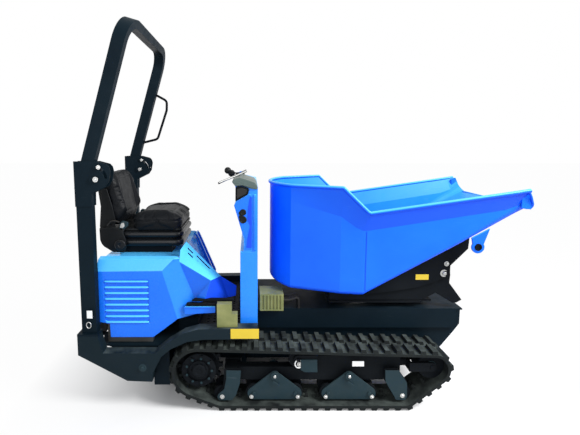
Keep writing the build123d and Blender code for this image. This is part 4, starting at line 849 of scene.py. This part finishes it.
press_seams(back.data, back_relief)
for polygon in back.data.polygons:
    polygon.use_smooth = True
print("backrest points", len(back.data.vertices))

# %% [markdown]
# A hard shell backs the foam, with a rolled edge and two ribs, and ends in the ears that
# hold the recline pin. The bellows under the seat is a ring form of two fat folds.

# %% Backrest shell
shell_rings = []
for depth, inset in ((0, 40), (1, 18), (6, 5), (16, 0), (36, 0), (42, 4)):
    ring = []
    for x, y in round_rectangle(172 - inset, 226 - inset, 96 - inset * 0.4):
        narrow = 1 - 0.16 * max(0, (x + 172) / 344 - 0.45) ** 1.5
        ring.append(on_back(depth, y * narrow, 164 + x))
    shell_rings.append(ring)
make_piece("backrest_shell", ring_form("backrest_shell", shell_rings), moulding, "backrest", (), 0.002, 50)
for side in (-1, 1):
    rib = [on_back(-2 + 3 * sin(k * pi / 6), side * (110 - k * 3), 40 + k * 42) for k in range(7)]
    rod_piece(f"backrest_rib_{'far' if side > 0 else 'near'}", rib, 5, moulding, "backrest")

# %% Bellows folds
bellows_rings = []
mid_x = -1065
for z, out in (
    (1002, -16), (1006, -4), (1018, 2), (1034, 4), (1048, 0), (1056, -12), (1060, -20), (1064, -12),
    (1074, 2), (1090, 6), (1104, 2), (1112, -8), (1116, -18), (1119, -24),
):
    loop = round_rectangle(231 + out, 219 + out, 62)
    bellows_rings.append([(mid_x + x, y, z) for x, y in loop])
folds = make_piece(
    "bellows_folds", ring_form("bellows_folds", bellows_rings), bellows_black, "hood", ("seat_bellows",), 0, 70,
)
soften = folds.modifiers.new("soften", "SUBSURF")
soften.levels = soften.render_levels = 1
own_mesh(folds)

# %% [markdown]
# ## Skip
# The skip is one rolled and folded sheet: a half round back, straight flanks that meet
# at a knuckle, a floor that climbs to the lip, and a rim that leans outwards above a fold
# line. It is drawn as columns that run from the middle of the floor out to the wall and up
# to the rim, so every crease of the sheet is a column or a row of the mesh.

# %% Skip lines
skip_floor, skip_rear, skip_half, skip_sheet = 728, -205, 425, 8
arc_rise = -79 - skip_rear
arc_radius = (arc_rise ** 2 + 300 ** 2) / (2 * arc_rise)


def between(x, table):
    """Straight line value at x in a table of (x, value)."""
    if x <= table[0][0]:
        return table[0][1]
    for (x0, v0), (x1, v1) in zip(table, table[1:]):
        if x <= x1:
            return v0 + (v1 - v0) * (x - x0) / (x1 - x0)
    return table[-1][1]


wall_table = [(-79, 300), (240, 405), (391, skip_half), (1466, skip_half)]
floor_table = [(391, skip_floor), (1415, 1291), (1466, 1319)]
fold_table = [(-79, 1340), (240, 1255), (368, 1162), (412, 1166), (1466, 1330)]
rim_table = [(240, 1448), (404, 1288), (412, 1287), (1466, 1440)]
rim_out_table = [(-79, 300), (240, 448), (412, 466), (1466, 466)]
fillet_table = [(391, 26), (1000, 30), (1466, 66)]


def skip_columns():
    """(core, wall) points in plan for the near half, from the back to the lip."""
    columns = []
    sweep_angle = degrees(atan2(300, arc_radius - arc_rise))
    for k in range(13):
        a = radians(sweep_angle * k / 12)
        columns.append(((20 * k / 12, 0), (skip_rear + arc_radius * (1 - cos(a)), -arc_radius * sin(a))))
    for x in (-40, 0, 60, 120, 180, 234, 240, 246, 290, 340, 385, 391, 397, 412):
        columns.append(((max(20, min(x, 391) if x < 391 else x), 0), (x, -between(x, wall_table))))
    for k in range(1, 13):
        x = 412 + (1466 - 412) * k / 12
        columns.append(((x, 0), (x, -between(x, wall_table))))
    return columns


def skip_section(core, wall):
    x, y = wall
    floor_z = between(x, floor_table)
    fillet = between(x, fillet_table)
    out = Vector((wall[0] - core[0], wall[1] - core[1], 0))
    reach = out.length
    out.normalize()
    points = []
    for share in (0, 0.35, 0.7, 0.9):
        p = Vector((*core, 0)) + out * (reach - fillet) * share
        points.append((p.x, p.y, between(p.x, floor_table)))
    fold_z = between(x, fold_table)
    rim_z = between(x, rim_table)
    rim_y = -between(x, rim_out_table) if x > -79 else y
    wall_top = max(fold_z, floor_z + fillet + 4)
    for k in range(5):
        a = radians(90 * k / 4)
        p = Vector((*wall, 0)) - out * fillet * (1 - sin(a))
        points.append((p.x, p.y, floor_z + fillet * (1 - cos(a))))
    for share in (0.25, 0.5, 0.75, 0.985):
        points.append((x, y, floor_z + fillet + (wall_top - floor_z - fillet) * share))
    for share in (0, 0.03, 0.35, 0.7, 1):
        points.append((x, y + (rim_y - y) * share, wall_top + (rim_z - wall_top) * share))
    lean_back = max(0, (x - 1330) / 136)
    return [
        (px - lean_back * 48 * max(0, (pz - 1325) / 110) + lean_back * 10 * max(0, 1 - abs(pz - 1325) / 60), py, pz)
        for px, py, pz in points
    ]


# %% Skip sheet
shell = bmesh.new()
for side in (1, -1):
    grid = []
    for core, wall in skip_columns():
        grid.append([shell.verts.new(mm((x, y * side, z))) for x, y, z in skip_section(core, wall)])
    for low, high in zip(grid, grid[1:]):
        for k in range(len(low) - 1):
            shell.faces.new((low[k], high[k], high[k + 1], low[k + 1]))
bmesh.ops.remove_doubles(shell, verts=shell.verts, dist=0.0005)
bmesh.ops.dissolve_degenerate(shell, edges=shell.edges, dist=0.0001)
bmesh.ops.recalc_face_normals(shell, faces=shell.faces)
centre_face = min(shell.faces, key=lambda f: (f.calc_center_median() - Vector((0.1, 0, 0.735))).length)
if centre_face.normal.z > 0:
    bmesh.ops.reverse_faces(shell, faces=shell.faces)
skip_mesh = bpy.data.meshes.new("skip_sheet")
shell.to_mesh(skip_mesh)
shell.free()
skip_piece = make_piece("skip_sheet", skip_mesh, skip_blue, "skip", ("skip_tub",), 0, 180)
# The inner side of the sheet takes the lighter copy of the blue as painted light.
skip_mesh.materials.append(skip_inside_painted_light)
wall = skip_piece.modifiers.new("sheet", "SOLIDIFY")
wall.thickness = skip_sheet / 1000
wall.offset = -1
wall.material_offset = 1
wall.material_offset_rim = 0
rounded(skip_piece, 0.004, 10, 2)
print("skip sheet faces", len(skip_mesh.polygons))

# %% Skip rim
rim_line = []
for core, (x, y) in skip_columns()[::-1]:
    if x > 1440:
        continue
    rim_y = -between(x, rim_out_table) if x > -79 else y
    rim_line.append((x, rim_y, between(x, rim_table)))
rim_line[0] = (1418, -466, 1434)
far_line = [(x, -y, z) for x, y, z in rim_line[::-1][1:]]
rod_piece("skip_rim", rim_line + far_line, 13, skip_blue, "skip", smooth=False)

# %% Lip bar and lifting lugs
rod_piece("skip_lip_edge", [(1466, -395, 1322), (1469, -200, 1318), (1469, 200, 1318), (1466, 395, 1322)], 8, skip_blue, "skip")
for side, label in ((-1, "near"), (1, "far")):
    inner, outer = sorted((side * 396, side * 408))
    lug = []
    for k in range(25):
        a = radians(150 + 240 * k / 24)
        lug.append((1145 + 42 * cos(a), 1052 + 42 * sin(a)))
    lug += [(1216, 1176), (1100, 1114)]
    plate_piece(f"lifting_lug_{label}", lug, inner, outer, skip_blue, "skip", 0.002)
    shell = bmesh.new()
    turned_into(shell, (1145, side * 392, 1052), (0, side, 0), [(0, 24), (20, 24), (22, 22), (22, 14), (18, 13.5)], 32)
    make_piece(f"lug_boss_{label}", join_shell(shell, f"lug_boss_{label}"), soot, "skip", (), 0.001)

# %% [markdown]
# ## Wing beside the footwell
# A folded wing closes the gap between the hood and the column on the right. Its near side
# carries on from the hood's chamfer, a slotted strip runs down its inner edge, and its
# front end turns under the strip. Each panel is a separate facet of one sheet, because
# the folds are what the eye sees.

# %% Wing sheet
wing_points = {
    "strip_top_in": (-795, -300, 1062), "strip_top_out": (-822, -380, 1024), "hood_top": (-828, -395, 950),
    "hood_low": (-702, -388, 632), "strip_mid_out": (-613, -440, 838), "strip_mid_in": (-560, -300, 818),
    "toe_in": (-452, -290, 745), "toe_low": (-455, -330, 690), "near_low": (-655, -443, 700),
    "near_foot": (-740, -420, 668), "nose": (-505, -360, 690),
}
wing_facets = (
    ("strip_top_in", "strip_top_out", "hood_top", "strip_mid_out", "strip_mid_in"),
    ("hood_top", "hood_low", "near_foot", "near_low", "strip_mid_out"),
    ("strip_mid_out", "near_low", "nose", "strip_mid_in"),
    ("strip_mid_in", "nose", "toe_low", "toe_in"),
)
shell = bmesh.new()
spot = {label: shell.verts.new(mm(p)) for label, p in wing_points.items()}
for facet in wing_facets:
    shell.faces.new([spot[label] for label in facet])
wing = make_piece("wing_sheet", join_shell(shell, "wing_sheet"), hood_blue, "chassis", ("side_cowl",), 0, 8)
# The two lower facets take the darker blue as painted shade.
wing.data.materials.append(painted_shade_blue)
for polygon in wing.data.polygons[2:]:
    polygon.material_index = 1
wall = wing.modifiers.new("sheet", "SOLIDIFY")
wall.thickness = 0.006
wall.offset = 0
rounded(wing, 0.006, 12, 3)

# %% Rails, valance and slots
plate_piece("rail_upper", [(-742, 700), (-722, 716), (-470, 716), (-462, 709), (-470, 700)], -452, -424, soot, "chassis", 0.003)
plate_piece("rail_lower", [(-782, 672), (-772, 688), (-575, 688), (-575, 672)], -458, -430, soot, "chassis", 0.003)
plate_piece("valance_panel", [(-785, 612), (-790, 660), (-585, 660), (-585, 622), (-700, 616)], -452, -446, hood_blue, "chassis", 0.002)
plate_piece("valance_lip", [(-785, 658), (-785, 667), (-585, 667), (-585, 658)], -458, -444, hood_blue, "chassis", 0.003)
strip_start, strip_end = Vector(wing_points["strip_top_in"]), Vector(wing_points["strip_mid_in"])
strip_across = (Vector(wing_points["strip_top_out"]) - strip_start).normalized()
strip_up = (strip_end - strip_start).cross(strip_across).normalized()
if strip_up.z < 0:
    strip_up = -strip_up
for number, (share, depth, length) in enumerate(((0.1, 34, 50), (0.16, 62, 46), (0.34, 26, 130), (0.4, 58, 120))):
    a = strip_start.lerp(strip_end, share) + strip_across * depth
    b = a + (strip_end - strip_start).normalized() * length
    shell = bmesh.new()
    corners = []
    for end in (a, b):
        for offset in (-5, 5):
            corners.append(end + strip_across * offset + strip_up * 3.4)
    order = (corners[0], corners[1], corners[3], corners[2])
    low = [shell.verts.new(mm(p - strip_up * 2)) for p in order]
    high = [shell.verts.new(mm(p)) for p in order]
    shell.faces.new(low[::-1])
    shell.faces.new(high)
    for k in range(4):
        shell.faces.new((low[k], low[(k + 1) % 4], high[(k + 1) % 4], high[k]))
    make_piece(f"strip_slot_{number}", join_shell(shell, f"strip_slot_{number}"), soot, "chassis", (), 0.001)

# %% [markdown]
# ## Control head
# The head on the column is a folded blue housing with a rolled front edge, a black pod
# that faces the operator, and a bare metal top plate under the two levers. The housing and
# the column stay as the CAD has them, and the trim is laid on them.

# %% Head trim
head_near, head_far = -452, -441
shell = bmesh.new()
turned_into(shell, (-326, -441, 1040), (0, 0, 1), [(0, 8), (4, 17), (350, 17), (366, 14), (372, 6)], 28)
make_piece("head_front_roll", join_shell(shell, "head_front_roll"), hood_blue, "chassis", (), 0, 40)
plate_piece("head_side_sheet", [
    (-458, 1340), (-446, 1362), (-362, 1410), (-346, 1404), (-346, 1046), (-392, 1046), (-386, 1118), (-422, 1208),
], head_near, head_far, hood_blue, "chassis", 0.003)
# A thin facet of the darker blue on the head's side is painted shade.
plate_piece("head_side_facet", [
    (-356, 1396), (-346, 1390), (-346, 1060), (-380, 1060), (-374, 1120), (-356, 1205), (-374, 1245), (-368, 1330),
], head_near - 2, head_near, painted_shade_blue, "chassis", 0.001)
plate_piece("operator_pod", [
    (-449, 1458), (-407, 1463), (-362, 1446), (-368, 1410), (-450, 1364),
], -470, -110, soot, "chassis", 0.008)
plate_piece("pod_bezel", [
    (-440, 1446), (-408, 1452), (-376, 1440), (-380, 1416), (-440, 1384),
], -474, -468, hose_black, "chassis", 0.003)
plate_piece("top_plate", [
    (-472, 1489), (-462, 1507), (-420, 1517), (-366, 1500), (-326, 1487), (-309, 1464), (-309, 1440), (-352, 1446),
    (-407, 1465), (-449, 1460),
], -462, -112, sill_grey, "chassis", 0.006)
plate_piece("top_plate_rim", [
    (-455, 1474), (-418, 1482), (-352, 1464), (-330, 1462), (-352, 1453), (-407, 1470), (-450, 1464),
], -466, -461, sill_grey, "chassis", 0.002)
for name, z, size in (("upper", 1293, 21), ("lower", 1245, 24)):
    shell = bmesh.new()
    turned_into(shell, (-402, -451, z), (0, -1, 0), [(0, size), (5, size), (8, size - 3), (8, size - 7), (6, size - 9)], 36)
    make_piece(f"switch_bezel_{name}", join_shell(shell, f"switch_bezel_{name}"), moulding, "chassis", (), 0.001)
rod_piece("head_rod", [(-564, -300, 1470), (-500, -300, 1495), (-440, -300, 1518), (-379, -300, 1547)], 7, zinc, "chassis")
for label, x, y, z, r in (("right", -515, -150, 1540, 24), ("left", -497, 20, 1507, 26)):
    shell = bmesh.new()
    profile = [(-r * cos(radians(a)), max(0.4, r * sin(radians(a)))) for a in range(4, 178, 8)]
    turned_into(shell, (x, y, z), (-0.92, 0, 0.38), profile, 32)
    make_piece(f"{label}_ball", join_shell(shell, f"{label}_ball"), moulding, f"{label}_lever", (), 0, 60)
plate_piece("column_seam", [(-420, 1028), (-420, 1036), (-307, 1036), (-307, 1028)], -446, -436, hood_blue, "chassis", 0.002)
plate_piece("column_patch", [(-481, 486), (-481, 552), (-300, 552), (-300, 486)], -532, -530, sun_yellow, "chassis", 0.0005)

# %% [markdown]
# ## Seat trim
# A moulded cover runs from the back's shell down to the seat pan on each side, with the
# recline knob on it. The belt buckle stands between cover and cushion, and a strap comes
# out of its reel behind it.

# %% Side covers, knob and buckle
for side, label in ((-1, "near"), (1, "far")):
    low, high = sorted((side * 237, side * 249))
    plate_piece(f"seat_side_cover_{label}", [
        (-1409, 1128), (-1407, 1059), (-1396, 1030), (-1379, 1010), (-1318, 972), (-1236, 968), (-1222, 1010),
        (-1226, 1062), (-1250, 1130), (-1300, 1150), (-1408, 1146),
    ], low, high, moulding, "seat", 0.006)
    low, high = sorted((side * 224, side * 235))
    plate_piece(f"back_side_cover_{label}", [
        (-1388, 1420), (-1411, 1150), (-1404, 1132), (-1310, 1140), (-1296, 1190), (-1318, 1300), (-1350, 1418),
    ], low, high, moulding, "backrest", 0.006)
    shell = bmesh.new()
    turned_into(shell, (-1262, side * 246, 1026), (0, side, 0), [(0, 40), (6, 42), (16, 40), (20, 34), (20, 14), (16, 12)], 40)
    make_piece(f"recline_knob_{label}", join_shell(shell, f"recline_knob_{label}"), bellows_black, "seat", (), 0.003)
    rod_piece(f"belt_stalk_{label}", [
        (-1262, side * 238, 1080), (-1250, side * 240, 1110), (-1240, side * 242, 1140),
    ], 8, hose_black, "seat")
    low, high = sorted((side * 236, side * 254))
    plate_piece(f"belt_buckle_{label}", [
        (-1272, 1142), (-1258, 1186), (-1244, 1196), (-1206, 1186), (-1206, 1160), (-1232, 1138),
    ], low, high, slate, "seat", 0.004)
    low, high = sorted((side * 250, side * 257))
    plate_piece(f"buckle_tongue_{label}", [
        (-1262, 1150), (-1252, 1180), (-1232, 1184), (-1228, 1160), (-1240, 1146),
    ], low, high, zinc, "seat", 0.002)
strap = [(-1266, -250, 1186), (-1300, -252, 1200), (-1330, -250, 1188), (-1352, -246, 1160)]
rod_piece("belt_webbing", strap, 6, hose_black, "backrest")

# %% [markdown]
# ## Bolts and undercarriage trim
# Bright plated bolts are the first thing the eye finds on the dark undercarriage. They
# are turned shapes on washers, joined into one piece for each body that carries them.

# %% Bogie bolts, ribs and caps
for side, sign in (("right", -1), ("left", 1)):
    for end in ("rear", "front"):
        node = f"{side}_{end}_bogie"
        low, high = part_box(node)
        mid = (low[0] + high[0]) * 500
        apex = high[2] * 1000 - 26
        foot = low[2] * 1000 + 24
        face = (low[1] if sign < 0 else high[1]) * 1000
        spread = (high[0] - low[0]) * 1000 / 2 - 26
        bolts_piece(f"{node}_bolts", [
            (mid, face, apex, 11), (mid - spread, face, foot, 8), (mid + spread, face, foot, 8),
        ], zinc, body_of_node[node], (0, sign, 0))
        shell = bmesh.new()
        turned_into(shell, (mid, face - sign * 1, apex), (0, sign, 0), [(0, 27), (4, 27), (6, 25), (6, 21)], 36)
        make_piece(f"{node}_ring", join_shell(shell, f"{node}_ring"), slate, body_of_node[node], (), 0.001)
        near_face, far_face = sorted((face, face + sign * 5))
        plate_piece(f"{node}_rib", [
            (mid - 10, apex - 30), (mid + 34, apex - 62), (mid + 30, apex - 68), (mid - 14, apex - 38),
        ], near_face, far_face, slate, body_of_node[node], 0.0015)
    sprocket_low, sprocket_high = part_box(f"{side}_sprocket")
    cx, cz = (sprocket_low[0] + sprocket_high[0]) * 500, (sprocket_low[2] + sprocket_high[2]) * 500
    face = (sprocket_low[1] if sign < 0 else sprocket_high[1]) * 1000
    ring = [(cx + 84 * cos(radians(40 * k)), face + sign * -2, cz + 84 * sin(radians(40 * k)), 5) for k in range(9)]
    bolts_piece(f"{side}_sprocket_bolts", ring, slate, body_of_node[f"{side}_sprocket"], (0, sign, 0))
    shell = bmesh.new()
    turned_into(shell, (cx, face - sign * 6, cz), (0, sign, 0), [(0, 44), (10, 44), (13, 40), (13, 22), (10, 20), (10, 1)], 40)
    make_piece(f"{side}_hub_cap", join_shell(shell, f"{side}_hub_cap"), soot, body_of_node[f"{side}_sprocket"], (), 0.0015)
    idler_low, idler_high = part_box(f"{side}_idler")
    cx, cz = (idler_low[0] + idler_high[0]) * 500, (idler_low[2] + idler_high[2]) * 500
    face = (idler_low[1] if sign < 0 else idler_high[1]) * 1000
    shell = bmesh.new()
    turned_into(shell, (cx, face - sign * 4, cz), (0, sign, 0), [(0, 34), (9, 34), (12, 30), (12, 16), (9, 14), (9, 1)], 36)
    make_piece(f"{side}_idler_cap", join_shell(shell, f"{side}_idler_cap"), slate, body_of_node[f"{side}_idler"], (), 0.0015)
    for number in range(1, 7):
        low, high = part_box(f"{side}_roller_{number}")
        cx, cz = (low[0] + high[0]) * 500, (low[2] + high[2]) * 500
        face = (low[1] if sign < 0 else high[1]) * 1000
        shell = bmesh.new()
        turned_into(shell, (cx, face - sign * 3, cz), (0, sign, 0), [(0, 20), (6, 20), (8, 18), (8, 9), (6, 8), (6, 1)], 28)
        make_piece(f"{side}_roller_cap_{number}", join_shell(shell, f"{side}_roller_cap_{number}"), slate, body_of_node[f"{side}_roller_{number}"], (), 0.001)

# %% Cheek, post, skip and hitch bolts
for sign, side in ((-1, "right"), (1, "left")):
    post_low, post_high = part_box("roll_bar_posts")
    face = (post_low[1] if sign < 0 else post_high[1]) * 1000
    bolts_piece(f"{side}_cheek_bolts", [(-1285, face, 1586, 8), (-1306, face, 1511, 10)], zinc, "chassis", (0, sign, 0))
    bolts_piece(f"{side}_skirt_bolt", [(-1052, sign * 530, 287, 15)], slate, "chassis", (0, sign, 0))
    near_face, far_face = sorted((sign * 530, sign * 532))
    plate_piece(f"{side}_post_label", [(-1396, 622), (-1396, 673), (-1361, 673), (-1361, 622)], *sorted((face, face + sign * 1.5)), label_white, "chassis", 0.0004)
    rod_piece(f"{side}_foot_ring", [
        (-1385 + 15 * cos(radians(30 * k)), face + sign * 4, 578 + 20 * sin(radians(30 * k))) for k in range(13)
    ], 3, zinc, "chassis", smooth=False)
    under_low, under_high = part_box("skip_underframe")
    face = (under_low[1] if sign < 0 else under_high[1]) * 1000
    bolts_piece(f"{side}_under_bolts", [(1000, face, 905, 10), (985, face, 838, 15)], zinc, "skip", (0, sign, 0))
    near_face, far_face = sorted((face, face + sign * 1.5))
    plate_piece(f"{side}_under_patch", [(790, 792), (790, 830), (880, 830), (880, 792)], near_face, far_face, sun_yellow, "skip", 0.0004)

# %% [markdown]
# ## Hangers, brackets and lip
# The end rollers hang from slate plates, the carrier roller has a bracket with a bright
# cap, and the skip's lip ends in a thick plate on each side. Far cheek bolts show between
# the posts, because the camera looks past the near post at the inside of the far one.

# %% Hanger plates and brackets
rear_hanger = [(-512, 263), (-416, 261), (-423, 174), (-449, 91), (-475, 55), (-559, 55), (-572, 78), (-565, 98), (-526, 133), (-513, 202)]
front_hanger = [(523, 263), (613, 262), (669, 174), (673, 78), (661, 57), (602, 57), (526, 188)]
for side, sign in (("right", -1), ("left", 1)):
    low, high = sorted((sign * 516, sign * 520))
    plate_piece(f"{side}_rear_hanger", rear_hanger, low, high, slate, "chassis", 0.002)
    plate_piece(f"{side}_front_hanger", front_hanger, low, high, slate, "chassis", 0.002)
    bolts_piece(f"{side}_hanger_bolts", [(-539, sign * 519, 80, 9), (642, sign * 519, 88, 9)], zinc, "chassis", (0, sign, 0))
    carrier_low, carrier_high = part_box(f"{side}_carrier_roller")
    face = (carrier_low[1] if sign < 0 else carrier_high[1]) * 1000
    low, high = sorted((sign * 497, sign * 515))
    plate_piece(f"{side}_carrier_bracket", [
        (-28, 334), (81, 334), (83, 246), (0, 246), (-28, 262),
    ], low, high, slate, "chassis", 0.004)
    ring = [(-40 + 24 * cos(radians(a)), sign * 512, 303 + 26 * sin(radians(a))) for a in range(60, 301, 20)]
    rod_piece(f"{side}_bracket_ring", ring, 4, label_white, "chassis", smooth=False)
    bolts_piece(f"{side}_bracket_bolt", [(-36, sign * 512, 300, 9)], zinc, "chassis", (0, sign, 0))
    low, high = sorted((sign * 516, sign * 517.5))
    plate_piece(f"{side}_frame_label", [(308, 290), (308, 325), (384, 325), (384, 290)], low, high, label_white, "chassis", 0.0003)

# %% Lip ends and skip bolts
for sign, label in ((-1, "near"), (1, "far")):
    low, high = sorted((sign * 428, sign * 440))
    plate_piece(f"lip_end_{label}", [
        (1400, 1434), (1424, 1437), (1466, 1346), (1464, 1330), (1450, 1311), (1420, 1311), (1388, 1318), (1388, 1420),
    ], low, high, skip_blue, "skip", 0.003)
    rod_piece(f"lip_bead_{label}", [
        (1412, sign * 458, 1434), (1436, sign * 452, 1390), (1457, sign * 440, 1345), (1457, sign * 436, 1330), (1444, sign * 430, 1312),
    ], 8, skip_blue, "skip", smooth=False)
    # A thin strip of the darker blue draws the seam line as painted shade.
    seam = sorted((sign * 425.5, sign * 427.5))
    plate_piece(f"skip_seam_{label}", [(402, 760), (402, 1160), (405, 1160), (405, 760)], *seam, painted_shade_blue, "skip", 0)

# %% Far cheek bolts and hood holes
bolts_piece("far_cheek_bolts", [(-1295, 441, 1588, 7), (-1313, 441, 1508, 9)], zinc, "chassis", (0, -1, 0))
# The holes are dark blue discs: painted shade standing in for the holes.
shell = bmesh.new()
for z in (786, 740, 687, 640, 593, 551):
    turned_into(shell, (-1352, -447.5, z), (0, -1, 0), [(0, 5.5), (1.2, 5.5), (1.4, 4.5)], 16)
make_piece("hood_edge_holes", join_shell(shell, "hood_edge_holes"), painted_shade_blue, "hood", (), 0)
bolts_piece("frame_side_bolt", [(633, -262, 427, 12)], charcoal, "chassis", (0, -1, 0))

# %% [markdown]
# ## Floor
# A plain pale floor carries the soft contact shadow.

# %% Floor
mesh = bpy.data.meshes.new("floor")
mesh.from_pydata([(-30, -30, 0), (30, -30, 0), (30, 30, 0), (-30, 30, 0)], [], [(0, 1, 2, 3)])
floor = bpy.data.objects.new("floor", mesh)
scene.collection.objects.link(floor)
material = bpy.data.materials.new("pale_floor")
material.use_nodes = True
tree = material.node_tree
tree.nodes["Principled BSDF"].inputs["Base Color"].default_value = (0.85, 0.85, 0.85, 1)
tree.nodes["Principled BSDF"].inputs["Roughness"].default_value = 0.9
glow = tree.nodes.new("ShaderNodeEmission")
glow.inputs["Color"].default_value = (1, 1, 1, 1)
mix = tree.nodes.new("ShaderNodeMixShader")
place = tree.nodes.new("ShaderNodeSeparateXYZ")
tree.links.new(tree.nodes.new("ShaderNodeTexCoord").outputs["Object"], place.inputs[0])
along = maths(tree, "DIVIDE", maths(tree, "ABSOLUTE", maths(tree, "SUBTRACT", place.outputs["X"], 0.0)), 1.15)
across = maths(tree, "DIVIDE", maths(tree, "ABSOLUTE", maths(tree, "ADD", place.outputs["Y"], -0.1)), 0.72)
away = ramp(tree, maths(tree, "MAXIMUM", along, across), 0.8, 1.7, 0.0, 0.97)
tree.links.new(maths(tree, "MULTIPLY", seen_directly(tree), away), mix.inputs[0])
tree.links.new(tree.nodes["Principled BSDF"].outputs[0], mix.inputs[1])
tree.links.new(glow.outputs[0], mix.inputs[2])
tree.links.new(mix.outputs[0], tree.nodes["Material Output"].inputs["Surface"])
mesh.materials.append(material)
